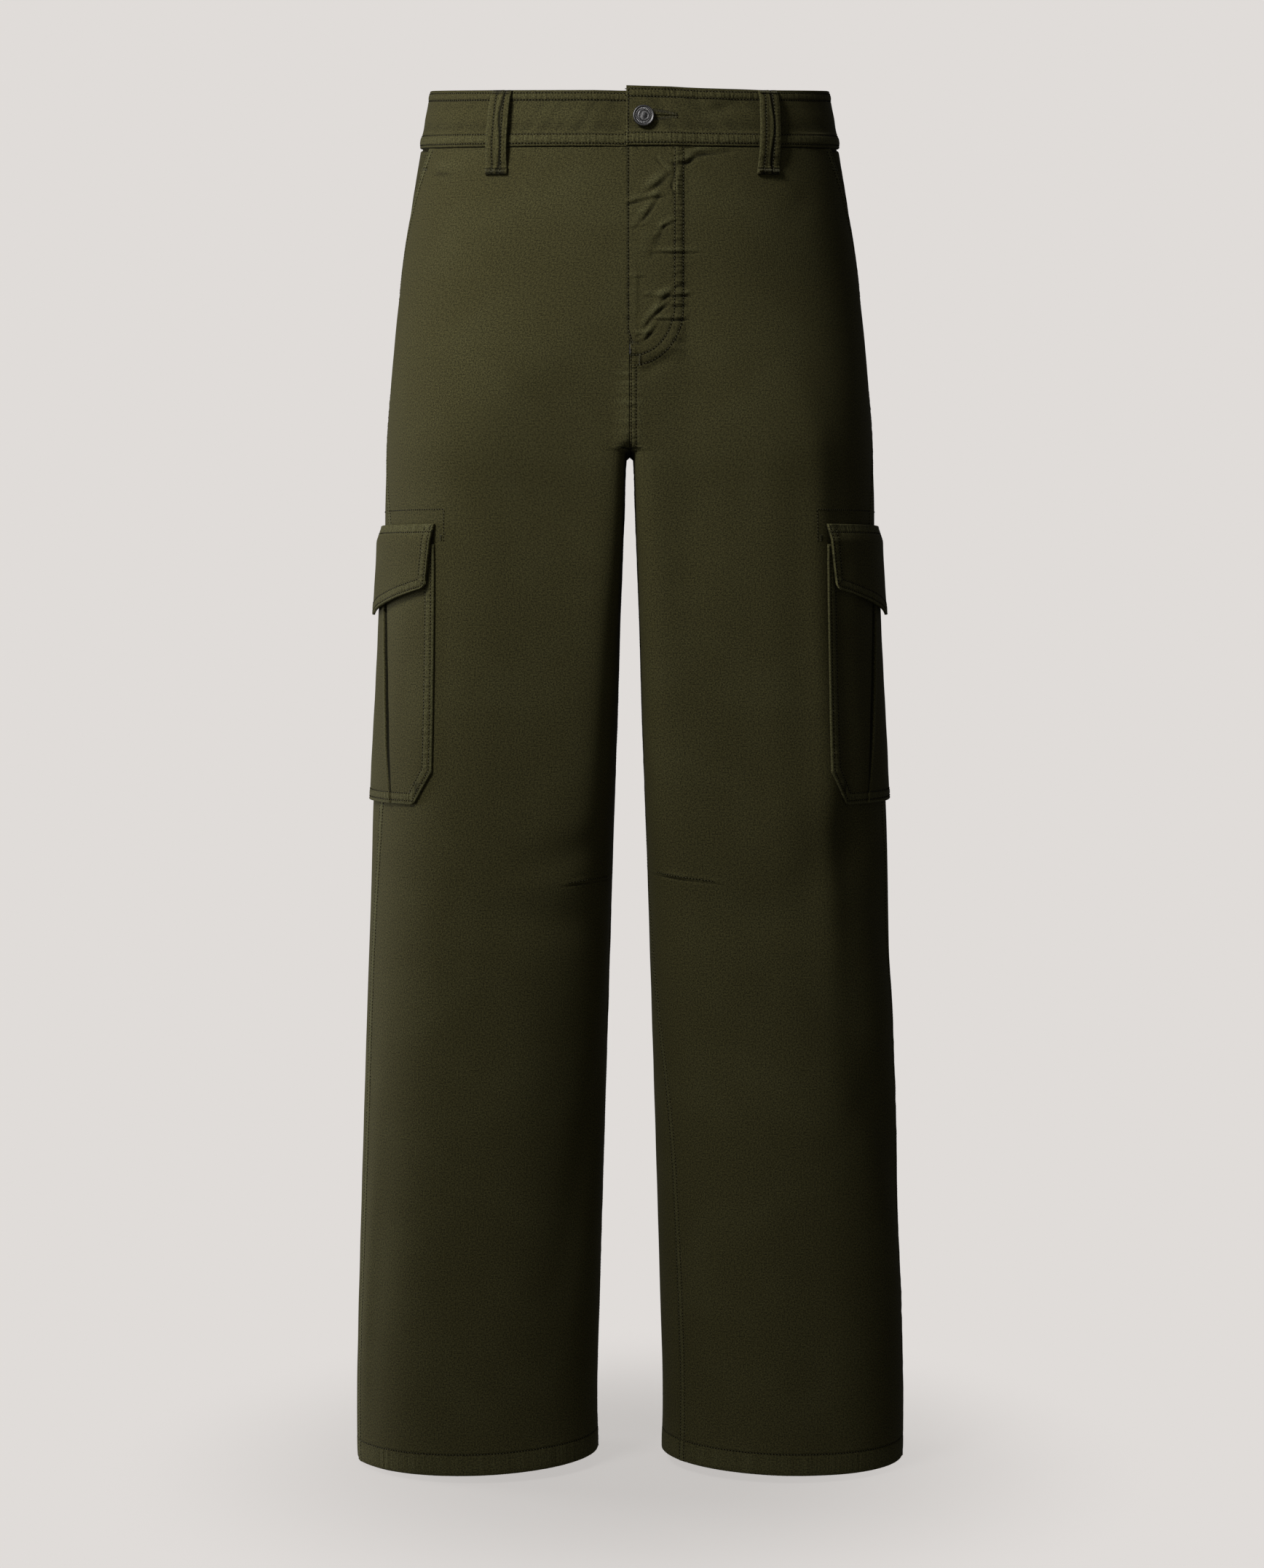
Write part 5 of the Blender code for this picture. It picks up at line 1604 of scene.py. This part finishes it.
def add_belt_loop(loop):
    """A belt loop, sewn at its top and at its doubled foot."""
    half = LOOP_WIDTH / 2.0
    margin = half - np.array(LOOP_EDGE)
    across = np.concatenate([-margin, np.linspace(-half + 1.0, half - 1.0, 26), margin[::-1]])
    drops, across = np.meshgrid(steps(*LOOP_STEPS), across, indexing="ij")
    turns, out, thickness = loop_place(loop, drops, across)
    seed = loop.from_centre / 37.0 + loop.side
    edge = half - np.abs(across)
    line = -loop.side * across - np.sin(drops / 7.0 + seed) - LOOP_LINE_AT
    fine = rolled(edge) + rolled(LOOP_END - drops)
    fine = fine - LOOP_LINE_DEPTH * np.exp(-(line / LOOP_LINE_WIDTH) ** 2)
    fine = fine + LOOP_LIP * np.exp(-((line + LOOP_LIP_AT) / LOOP_LIP_WIDTH) ** 2)
    puckered = np.exp(-((np.abs(across) - LOOP_PUCKER_AT) / LOOP_PUCKER_WIDTH) ** 2)
    fine = fine + LOOP_PUCKER * ripple(drops, seed) * puckered
    for tack in LOOP_TACK_DROPS:
        beside = (np.abs(drops - tack) - LOOP_TACK_BESIDE) / LOOP_TACK_WIDTH
        fine = fine - LOOP_TACK_DIP * np.exp(-beside ** 2)
    plain = cloth(loop.side, drops, turns, out + thickness)
    fine = fine + stitch_dips(plain, ROWS[loop.name])
    outer = cloth(loop.side, drops, turns, out + thickness + fine)
    inner = cloth(loop.side, drops, turns, out)
    pinch = LOOP_PINCH * strip(np.abs(across), *LOOP_PINCHED)
    # The loop's fold line, tack dips and pucker troughs darken its colour as painted shade, and worn
    # edges pale it.
    return add_shell(f"{loop.name}_cloth", loop.side, outer, inner, across, drops, fine + worn(edge),
                     drops, pinch)


for loop in LOOPS:
    ROWS[loop.name] = loop_rows(loop)
    PIECES[loop.name] = add_belt_loop(loop)

# %% [markdown]
# ## The button
# A tack button is pressed from metal: a domed rim, a flat ring and a small raised middle, with a
# circle of plain beads round each. Its profile is turned round its axis, which points straight
# out of the waistband, and the `bead` column says how high the beads stand on each ring.

# %% Build the button
BUTTON_FROM_CENTRE = 10.0
BUTTON_DROP = 21.5
BUTTON_SEAT = 0.6
BUTTON_UNDER = 0.6
BUTTON_SIDES = 168
BUTTON_BEADS = 28
ButtonPoint = namedtuple("ButtonPoint", "radius height bead")
BUTTON_PROFILE = (
    ButtonPoint(2.6, 0.0, 0.0),
    ButtonPoint(2.6, 1.2, 0.0),
    ButtonPoint(7.2, 1.3, 0.0),
    ButtonPoint(7.6, 1.5, 0.0),
    ButtonPoint(7.8, 1.9, 0.0),
    ButtonPoint(7.8, 2.6, 0.0),
    ButtonPoint(7.6, 3.1, 0.0),
    ButtonPoint(7.2, 3.4, 0.0),
    ButtonPoint(6.8, 3.4, 0.0),
    ButtonPoint(6.5, 3.15, 0.0),
    ButtonPoint(6.25, 2.9, 0.0),
    ButtonPoint(5.9, 2.85, 0.0),
    ButtonPoint(5.6, 2.85, 0.3),
    ButtonPoint(5.0, 2.85, 0.35),
    ButtonPoint(4.6, 2.85, 0.25),
    ButtonPoint(4.35, 2.85, 0.0),
    ButtonPoint(4.1, 2.95, 0.0),
    ButtonPoint(3.9, 3.25, 0.0),
    ButtonPoint(3.6, 3.35, 0.0),
    ButtonPoint(3.3, 3.25, 0.0),
    ButtonPoint(3.1, 2.95, 0.0),
    ButtonPoint(2.8, 2.9, 0.15),
    ButtonPoint(2.2, 3.0, 0.25),
    ButtonPoint(1.7, 3.15, 0.1),
    ButtonPoint(1.2, 3.3, 0.0),
    ButtonPoint(0.6, 3.4, 0.0),
)
BUTTON_TOP = 3.42


def button_axes():
    """The button's base point and its three directions."""
    turn = turn_at(np.array((BUTTON_DROP,)), BUTTON_FROM_CENTRE, True)[0]
    normal = face_normal(1, np.array(BUTTON_DROP), np.array(turn))[0]
    base = cloth(1, BUTTON_DROP, turn, BUTTON_UNDER + BAND_LAP_RAISE + BUTTON_SEAT)
    aside = np.cross((0.0, 0.0, 1.0), normal)
    aside = aside / np.linalg.norm(aside)
    return base, normal, aside, np.cross(normal, aside)


def add_button(name):
    """The metal button on the left end of the waistband."""
    base, normal, aside, upright = button_axes()
    points, faces = [], []
    for ring in BUTTON_PROFILE:
        for step in range(BUTTON_SIDES):
            angle = 2.0 * math.pi * step / BUTTON_SIDES
            spoke = aside * math.cos(angle) + upright * math.sin(angle)
            bead = ring.bead * max(math.cos(BUTTON_BEADS * angle), 0.0)
            points.append(base + spoke * ring.radius + normal * (ring.height + bead))
    rings = len(BUTTON_PROFILE)
    for ring in range(rings - 1):
        for step in range(BUTTON_SIDES):
            a = ring * BUTTON_SIDES + step
            b = ring * BUTTON_SIDES + (step + 1) % BUTTON_SIDES
            faces.append((a, b, b + BUTTON_SIDES, a + BUTTON_SIDES))
    points += [base, base + normal * BUTTON_TOP]
    for step in range(BUTTON_SIDES):
        after = (step + 1) % BUTTON_SIDES
        last = (rings - 1) * BUTTON_SIDES
        faces.append((after, step, rings * BUTTON_SIDES))
        faces.append((last + step, last + after, rings * BUTTON_SIDES + 1))
    mesh = bpy.data.meshes.new(name)
    mesh.from_pydata([tuple(point * MM) for point in points], [], faces)
    mesh.shade_smooth()
    mesh.set_sharp_from_angle(angle=math.radians(50.0))
    piece = bpy.data.objects.new(name, mesh)
    bpy.context.scene.collection.objects.link(piece)
    return piece


PIECES["waist_button"] = add_button("tack_button")
print("button faces:", len(PIECES["waist_button"].data.polygons))

# %% [markdown]
# ## Materials
# The cloth is garment-dyed cotton twill. The dye is dark olive, paler where the cloth stands
# proud and has rubbed. Where seams, stitches, creases and slots dip, the colour is darkened as
# painted shade. The diagonal ribs of a real twill are about half a millimetre apart, too fine for
# a whole view, so they are drawn a little coarser. Gathers a few millimetres apart run along each
# pinched strip. The thread is spun polyester, a shade paler than the cloth, and beside each stitch
# a dark spot is painted shade of its needle hole. The button is brushed steel with an uneven dull
# plating.

# %% The cloth's material
# The darkest colour below is painted shade, mixed in where seams, stitches, creases and slots dip.
CLOTH_PAINTED_SHADE = "#17160b"
CLOTH_MAIN = "#484428"
CLOTH_PALE = "#626040"
RIB_SPACING = 0.9
RIB_SCALE = 0.314 / RIB_SPACING
RIB_ANGLE = math.radians(27.0)
SPECK_SIZE = 1.15
PINCH_SPACING = 2.7
CLOUD_SIZE = 60.0


def new_material(name):
    """A material with an empty node tree."""
    material = bpy.data.materials.new(name)
    material.use_nodes = True
    material.node_tree.nodes.clear()
    return material, material.node_tree


def make_twill(name):
    """Garment-dyed cotton twill, matt, with a faint nap that catches light at the edges; paler where it
    stands proud, as wear, and darker in dips, as painted shade.
    """
    material, tree = new_material(name)
    uv = add_node(tree, "ShaderNodeUVMap", uv_map="cloth_mm")
    proud = add_node(tree, "ShaderNodeAttribute", attribute_name="proud")
    speck = add_node(tree, "ShaderNodeTexNoise", {
        "Vector": uv.outputs[0], "Scale": 1.0 / SPECK_SIZE, "Detail": 2.0, "Roughness": 0.65,
    }, noise_dimensions="2D")
    cloud = add_node(tree, "ShaderNodeTexNoise", {
        "Vector": uv.outputs[0], "Scale": 1.0 / CLOUD_SIZE, "Detail": 4.0, "Roughness": 0.55,
    }, noise_dimensions="2D")
    turned = add_node(tree, "ShaderNodeMapping", {
        "Vector": uv.outputs[0], "Rotation": (0.0, 0.0, RIB_ANGLE)})
    ribs = add_node(tree, "ShaderNodeTexWave", {
        "Vector": turned.outputs[0], "Scale": RIB_SCALE, "Distortion": 1.2, "Detail": 2.0,
        "Detail Scale": 1.5}, bands_direction="X", wave_profile="SIN")
    cloud_range = add_node(tree, "ShaderNodeMapRange", {
        "Value": cloud.outputs[0], "From Min": 0.42, "From Max": 0.75, "To Min": 0.0, "To Max": 0.14})
    dye = add_node(tree, "ShaderNodeMix", {
        0: cloud_range.outputs[0], 6: linear(CLOTH_MAIN), 7: linear(CLOTH_PALE)}, data_type="RGBA")
    rubbed_range = add_node(tree, "ShaderNodeMapRange", {
        "Value": proud.outputs["Fac"], "From Min": 0.1, "From Max": 1.0, "To Min": 0.0, "To Max": 0.55})
    rubbed = add_node(tree, "ShaderNodeMix", {
        0: rubbed_range.outputs[0], 6: dye.outputs[2], 7: linear(CLOTH_PALE)}, data_type="RGBA")
    # Dips in the relief darken the colour here: painted shade in seam lines, stitch rows, creases and
    # slots.
    painted_shade_range = add_node(tree, "ShaderNodeMapRange", {
        "Value": proud.outputs["Fac"], "From Min": -0.1, "From Max": -0.9, "To Min": 0.0, "To Max": 0.92})
    held = add_node(tree, "ShaderNodeMix", {
        0: painted_shade_range.outputs[0], 6: rubbed.outputs[2], 7: linear(CLOTH_PAINTED_SHADE)}, data_type="RGBA")
    grain = add_node(tree, "ShaderNodeMapRange", {
        "Value": speck.outputs[0], "From Min": 0.3, "From Max": 0.7, "To Min": 0.45, "To Max": 1.6})
    rib_range = add_node(tree, "ShaderNodeMapRange", {
        "Value": ribs.outputs["Fac"], "To Min": 0.9, "To Max": 1.1})
    both = add_node(tree, "ShaderNodeMath", {0: grain.outputs[0], 1: rib_range.outputs[0]},
                    operation="MULTIPLY")
    tone = add_node(tree, "ShaderNodeVectorMath", {0: held.outputs[2], 1: both.outputs[0]},
                    operation="MULTIPLY")
    height = add_node(tree, "ShaderNodeMath", {0: speck.outputs[0], 1: 0.6, 2: ribs.outputs["Fac"]},
                      operation="MULTIPLY_ADD")
    weave = add_node(tree, "ShaderNodeBump", {
        "Strength": 0.35, "Distance": 0.0002, "Height": height.outputs[0]})
    along = add_node(tree, "ShaderNodeAttribute", attribute_name="along")
    pinch = add_node(tree, "ShaderNodeAttribute", attribute_name="pinch")
    place = add_node(tree, "ShaderNodeMath", {0: along.outputs["Fac"], 1: 1.0 / PINCH_SPACING},
                     operation="MULTIPLY")
    gathers = add_node(tree, "ShaderNodeTexNoise", {"W": place.outputs[0], "Scale": 1.0, "Detail": 1.0},
                       noise_dimensions="1D")
    swell = add_node(tree, "ShaderNodeMath", {0: gathers.outputs[0], 1: pinch.outputs["Fac"]},
                     operation="MULTIPLY")
    gathered = add_node(tree, "ShaderNodeBump", {
        "Strength": 1.0, "Distance": 0.0009, "Height": swell.outputs[0], "Normal": weave.outputs[0]})
    shader = add_node(tree, "ShaderNodeBsdfPrincipled", {
        "Base Color": tone.outputs[0], "Roughness": 0.88, "Specular IOR Level": 0.15,
        "Sheen Weight": 0.05, "Sheen Roughness": 0.5, "Sheen Tint": linear("#b5b08c"),
        "Normal": gathered.outputs[0]})
    add_node(tree, "ShaderNodeOutputMaterial", {"Surface": shader.outputs[0]})
    return material


TWILL = make_twill("olive_cotton_twill")
print("nodes in the cloth's material:", len(TWILL.node_tree.nodes))

# %% The other materials


def make_thread(name):
    """Spun polyester sewing thread, a shade paler than the cloth."""
    material, tree = new_material(name)
    place = add_node(tree, "ShaderNodeTexCoord")
    noise = add_node(tree, "ShaderNodeTexNoise", {
        "Vector": place.outputs["Object"], "Scale": 400.0, "Detail": 2.0})
    tone = add_node(tree, "ShaderNodeMix", {
        0: noise.outputs[0], 6: linear("#45422a"), 7: linear("#5f5b3d")}, data_type="RGBA")
    shader = add_node(tree, "ShaderNodeBsdfPrincipled", {
        "Base Color": tone.outputs[2], "Roughness": 0.6, "Sheen Weight": 0.1})
    add_node(tree, "ShaderNodeOutputMaterial", {"Surface": shader.outputs[0]})
    return material


def make_steel(name):
    """Brushed steel with an uneven dull plating."""
    material, tree = new_material(name)
    place = add_node(tree, "ShaderNodeTexCoord")
    noise = add_node(tree, "ShaderNodeTexNoise", {
        "Vector": place.outputs["Object"], "Scale": 900.0, "Detail": 3.0})
    tone = add_node(tree, "ShaderNodeMix", {
        0: noise.outputs[0], 6: linear("#3c3c40"), 7: linear("#8a8886")}, data_type="RGBA")
    rough = add_node(tree, "ShaderNodeMapRange", {
        "Value": noise.outputs[0], "To Min": 0.34, "To Max": 0.55})
    bump = add_node(tree, "ShaderNodeBump", {
        "Strength": 0.25, "Distance": 0.0001, "Height": noise.outputs[0]})
    shader = add_node(tree, "ShaderNodeBsdfPrincipled", {
        "Base Color": tone.outputs[2], "Metallic": 1.0, "Roughness": rough.outputs[0],
        "Normal": bump.outputs[0]})
    add_node(tree, "ShaderNodeOutputMaterial", {"Surface": shader.outputs[0]})
    return material


def make_painted_hole_shade(name):
    """Painted shade of a needle hole, where thread and cloth are pinched together, also used for the dark
    between a tack's threads and down the buttonhole's slot.
    """
    material, tree = new_material(name)
    place = add_node(tree, "ShaderNodeTexCoord")
    noise = add_node(tree, "ShaderNodeTexNoise", {"Vector": place.outputs["Object"], "Scale": 300.0})
    tone = add_node(tree, "ShaderNodeMix", {
        0: noise.outputs[0], 6: linear("#0f0d03"), 7: linear("#1c1909")}, data_type="RGBA")
    shader = add_node(tree, "ShaderNodeBsdfPrincipled", {
        "Base Color": tone.outputs[2], "Roughness": 0.95, "Specular IOR Level": 0.0})
    add_node(tree, "ShaderNodeOutputMaterial", {"Surface": shader.outputs[0]})
    return material


HOLE_PAINTED_SHADE = make_painted_hole_shade("needle_hole_painted_shade")
THREAD = make_thread("olive_thread")
STEEL = make_steel("plated_steel")
for name, piece in PIECES.items():
    piece.data.materials.append(STEEL if name == "waist_button" else TWILL)
print("materials:", TWILL.name, THREAD.name, STEEL.name)

# %% [markdown]
# ## Thread
# A lockstitch row is the same small stitch again and again, so Geometry Nodes strings it along
# each path. The tree makes a curve from the path, puts a point on it at every stitch, and sets a
# thin rounded stitch there that lies the way the path says, and a dark dot half a pitch further
# on, painted shade of a needle hole. Every size in a row of the table below is in millimetres. A
# bar tack is the same thing with close stitches that lie across their path, and because its holes
# merge into the dark between its threads, that painted shade is strung as a second row of long
# dark dots.

# %% A node tree that sews
# `hole` gives the size of a dark dot beside each stitch: painted shade of its needle hole.
Sewing = namedtuple("Sewing", "pitch length thickness hole")
RUNNING = Sewing(2.4, 1.5, 0.5, (0.9, 0.9, 1.25))
SATIN = Sewing(1.0, 2.6, 0.55, (0.1, 0.1, 0.1))
# The sewing below strings dark dots as painted shade between a tack's threads.
SATIN_GAP_SHADE = Sewing(1.0, 0.2, 0.1, (0.6, 0.6, 2.2))
STITCH_LIFT = 0.08


def make_sewing_tree():
    """Stitches along the edges of a mesh, lying along its `lie` attribute."""
    tree = bpy.data.node_groups.new("sew_along_path", "GeometryNodeTree")
    face = tree.interface
    face.new_socket("Path", in_out="INPUT", socket_type="NodeSocketGeometry")
    for name in ("Pitch", "Length", "Thickness"):
        face.new_socket(name, in_out="INPUT", socket_type="NodeSocketFloat")
    face.new_socket("Hole", in_out="INPUT", socket_type="NodeSocketVector")
    for name in ("Thread", "Shade"):
        face.new_socket(name, in_out="INPUT", socket_type="NodeSocketMaterial")
    face.new_socket("Stitches", in_out="OUTPUT", socket_type="NodeSocketGeometry")
    given = add_node(tree, "NodeGroupInput")
    curve = add_node(tree, "GeometryNodeMeshToCurve", {"Mesh": given.outputs["Path"]})
    even = add_node(tree, "GeometryNodeResampleCurve", {
        "Curve": curve.outputs[0], "Length": given.outputs["Pitch"]}, mode="LENGTH")
    ball = add_node(tree, "GeometryNodeMeshUVSphere", {"Segments": 5, "Rings": 4, "Radius": 0.5})
    size = add_node(tree, "ShaderNodeCombineXYZ", {
        0: given.outputs["Thickness"], 1: given.outputs["Thickness"], 2: given.outputs["Length"]})
    thread = add_node(tree, "GeometryNodeTransform", {
        "Geometry": ball.outputs[0], "Scale": size.outputs[0]})
    thread = add_node(tree, "GeometryNodeSetMaterial", {
        "Geometry": thread.outputs[0], "Material": given.outputs["Thread"]})
    # The dark dot half a pitch on is painted shade of the needle hole.
    dot = add_node(tree, "GeometryNodeMeshUVSphere", {"Segments": 5, "Rings": 3, "Radius": 0.5})
    half = add_node(tree, "ShaderNodeMath", {0: given.outputs["Pitch"], 1: 0.5}, operation="MULTIPLY")
    along = add_node(tree, "ShaderNodeCombineXYZ", {2: half.outputs[0]})
    hole = add_node(tree, "GeometryNodeTransform", {
        "Geometry": dot.outputs[0], "Translation": along.outputs[0], "Scale": given.outputs["Hole"]})
    hole = add_node(tree, "GeometryNodeSetMaterial", {
        "Geometry": hole.outputs[0], "Material": given.outputs["Shade"]})
    stitch = add_node(tree, "GeometryNodeJoinGeometry")
    tree.links.new(thread.outputs[0], stitch.inputs[0])
    tree.links.new(hole.outputs[0], stitch.inputs[0])
    lie = add_node(tree, "GeometryNodeInputNamedAttribute", {"Name": "lie"}, data_type="FLOAT_VECTOR")
    turned = add_node(tree, "FunctionNodeAlignRotationToVector", {"Vector": lie.outputs[0]}, axis="Z")
    placed = add_node(tree, "GeometryNodeInstanceOnPoints", {
        "Points": even.outputs[0], "Instance": stitch.outputs[0], "Rotation": turned.outputs[0]})
    real = add_node(tree, "GeometryNodeRealizeInstances", {"Geometry": placed.outputs[0]})
    smooth = add_node(tree, "GeometryNodeSetShadeSmooth", {"Geometry": real.outputs[0]})
    add_node(tree, "NodeGroupOutput", {"Stitches": smooth.outputs[0]})
    return tree


SEWING_TREE = make_sewing_tree()
SOCKETS = [socket for socket in SEWING_TREE.interface.items_tree if socket.in_out == "INPUT"]
print("inputs of the sewing tree:", [socket.name for socket in SOCKETS])

# %% Lay a path on a piece and sew along it


def lay_on(piece, points):
    """A path's points moved onto the nearest spot of a finished piece's outer face."""
    mesh = piece.data
    count = int(piece["outer_faces"])
    vertices = [tuple(vertex.co) for vertex in mesh.vertices]
    polygons = [tuple(mesh.polygons[index].vertices) for index in range(count)]
    tree = BVHTree.FromPolygons(vertices, polygons)
    laid, normals = [], []
    for point in points:
        spot, normal, _, _ = tree.find_nearest(Vector(point * MM))
        laid.append(np.array(spot) / MM)
        normals.append(np.array(normal))
    return np.array(laid), np.array(normals)


def sew(name, paths, sewing):
    """One mesh of stitches along several paths: each is its points and the way stitches lie."""
    mesh = bpy.data.meshes.new(name)
    points = np.concatenate([points for points, _ in paths]) * MM
    edges, start = [], 0
    for path_points, _ in paths:
        edges += [(start + step, start + step + 1) for step in range(len(path_points) - 1)]
        start += len(path_points)
    mesh.from_pydata(points.tolist(), edges, [])
    lie = mesh.attributes.new("lie", "FLOAT_VECTOR", "POINT")
    ways = np.concatenate([ways for _, ways in paths])
    lie.data.foreach_set("vector", ways.astype(np.float32).ravel())
    item = bpy.data.objects.new(name + "_path", mesh)
    bpy.context.scene.collection.objects.link(item)
    modifier = item.modifiers.new("sew", "NODES")
    modifier.node_group = SEWING_TREE
    values = {"Pitch": sewing.pitch * MM, "Length": sewing.length * MM,
              "Thickness": sewing.thickness * MM, "Thread": THREAD, "Shade": HOLE_PAINTED_SHADE,
              "Hole": [size * MM for size in sewing.hole]}
    for socket in SOCKETS:
        if socket.name in values:
            modifier[socket.identifier] = values[socket.name]
    graph = bpy.context.evaluated_depsgraph_get()
    result = bpy.data.meshes.new_from_object(item.evaluated_get(graph))
    bpy.data.objects.remove(item)
    result.name = name
    piece = bpy.data.objects.new(name, result)
    bpy.context.scene.collection.objects.link(piece)
    print(name, "faces:", len(result.polygons))
    return piece


def ways_along(points):
    """The direction of a path at each of its points."""
    ways = np.gradient(points, axis=0)
    return ways / np.linalg.norm(ways, axis=1, keepdims=True)


print("a running stitch:", RUNNING.length, "mm long, every", RUNNING.pitch, "mm")

# %% Sew every piece
GROUPS = {
    "front_stitching": ("front_left", "front_right"),
    "back_stitching": ("back_left", "back_right"),
    "waist_stitching": ("waistband_left", "waistband_right") + tuple(loop.name for loop in LOOPS),
    "cargo_stitching": ("cargo_pocket_left", "cargo_pocket_right", "cargo_flap_left", "cargo_flap_right"),
}
THREADS = []
for group, names in GROUPS.items():
    paths = []
    for name in names:
        rows = ROWS[name] + LOOSE_ROWS.get(name, [])
        lengths = [len(row) for row in rows]
        laid, normals = lay_on(PIECES[name], np.concatenate(rows))
        laid = laid + normals * STITCH_LIFT
        for row in np.split(laid, np.cumsum(lengths)[:-1]):
            paths.append((row, ways_along(row)))
    THREADS.append(sew(group, paths, RUNNING))

# %% [markdown]
# ## Bar tacks and the buttonhole
# Places that pull are locked with a bar tack, a short row of dense stitches that lie across it:
# the pocket mouths, the belt loops, the fly and the flaps' supports. A buttonhole is edged in the
# same way round its slot, closer together towards its outer end, where a tack closes it. The dark
# between a tack's threads and a row of dark dots down the slot are painted shade.

# %% Sew the tacks
MOUTH_TACK_DROPS = (60.0, 181.5)
MOUTH_TACK_REACH = (1.0, 9.0)
SUPPORT_TACK = (-3.0, 1.0)
SUPPORT_TACK_TURN = 1.6
FLY_TACK_DROP = 195.5
FLY_TACK_REACH = (-1.0, FLY_STOP_X)
FLY_TOE_TACK_X = 7.6
HOLE_DROP = 21.5
HOLE_FROM = 16.5
HOLE_TO = 33.0
HOLE_HALF_NEAR = 3.6
HOLE_HALF_FAR = 0.9
HOLE_TACK_HALF = 1.8
HOLE_TACK_PAST = 0.6
# The slot is a row of dark dots, painted shade down the buttonhole's cut.
SLOT_SHADE = Sewing(1.0, 0.2, 0.1, (0.9, 0.9, 2.2))


def tack_rows():
    """Each tack as the piece it is on and its points."""
    rows = []
    for side, word in SIDES:
        front = f"front_{word}"
        for drop in MOUTH_TACK_DROPS:
            edge = front_side_edge(side, drop)
            reach = degrees(side, drop, edge, np.linspace(*MOUTH_TACK_REACH, 12))
            rows.append((front, path(side, drop, edge + reach)))
        foot = SUPPORT_END + np.linspace(*SUPPORT_TACK, 8)
        rows.append((front, path(side, foot, SUPPORT_TURN_FRONT - SUPPORT_TACK_TURN)))
    across = np.linspace(*FLY_TACK_REACH, 10)
    rows.append(("front_left", row_from_centre(1, np.full(10, FLY_TACK_DROP), across)))
    toe = np.linspace(FLY_TOE_DROP[1], FLY_TOE_DROP[0], 10)
    rows.append(("front_left", row_from_centre(1, toe, FLY_TOE_TACK_X)))
    for loop in LOOPS:
        for drop in LOOP_TACK_DROPS:
            reach = np.linspace(-LOOP_TACK_HALF, LOOP_TACK_HALF, 16)
            turns, out, thickness = loop_place(loop, np.full(16, drop), reach)
            rows.append((loop.name, resampled(cloth(loop.side, drop, turns, out + thickness))))
    return rows


def hole_row(across, half):
    """A row beside the buttonhole's slot, at a distance that may change along it."""
    turns = turn_at(np.full(len(across), BAND_HEIGHT / 2.0), across, True)
    return band_path(1, HOLE_DROP + half, turns)


def satin(piece, points):
    """A path on a piece whose stitches lie across it."""
    laid, normals = lay_on(PIECES[piece], points)
    laid = laid + normals * STITCH_LIFT
    return laid, np.cross(normals, ways_along(laid))


def half_step_on(points, ways):
    """A tack's path from half a stitch along it, for the painted shade between its threads."""
    walk = np.cumsum(np.linalg.norm(np.diff(points, axis=0), axis=1))
    start = int(np.searchsorted(walk, SATIN.pitch / 2.0)) + 1
    return points[start:], ways[start:]


along_hole = np.linspace(HOLE_FROM, HOLE_TO, 40)
half_hole = np.linspace(HOLE_HALF_NEAR, HOLE_HALF_FAR, 40)
bars = [satin(piece, points) for piece, points in tack_rows()]
bars += [satin("waistband_left", hole_row(along_hole, sign * half_hole)) for sign in (-1.0, 1.0)]
end_tack = np.linspace(-HOLE_TACK_HALF, HOLE_TACK_HALF, 10)
bars.append(satin("waistband_left", hole_row(np.full(10, HOLE_TO + HOLE_TACK_PAST), end_tack)))
THREADS.append(sew("bar_tacks", bars, SATIN))
THREADS.append(sew("bar_tack_gap_shade", [half_step_on(*bar) for bar in bars], SATIN_GAP_SHADE))
slot, _ = lay_on(PIECES["waistband_left"], hole_row(along_hole, np.zeros(40)))
THREADS.append(sew("buttonhole_slot_shade", [(slot, ways_along(slot))], SLOT_SHADE))

# %% [markdown]
# Each cloth piece stands for its solid, which is hidden, and rides on the garment's one body, as
# the stitching does.

Cut = namedtuple("Cut", "width length area")
for name, piece in PIECES.items():
    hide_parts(name)
    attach(piece, BODY)
for piece in THREADS:
    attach(piece, BODY)
print("pieces:", len(PIECES) + len(THREADS))
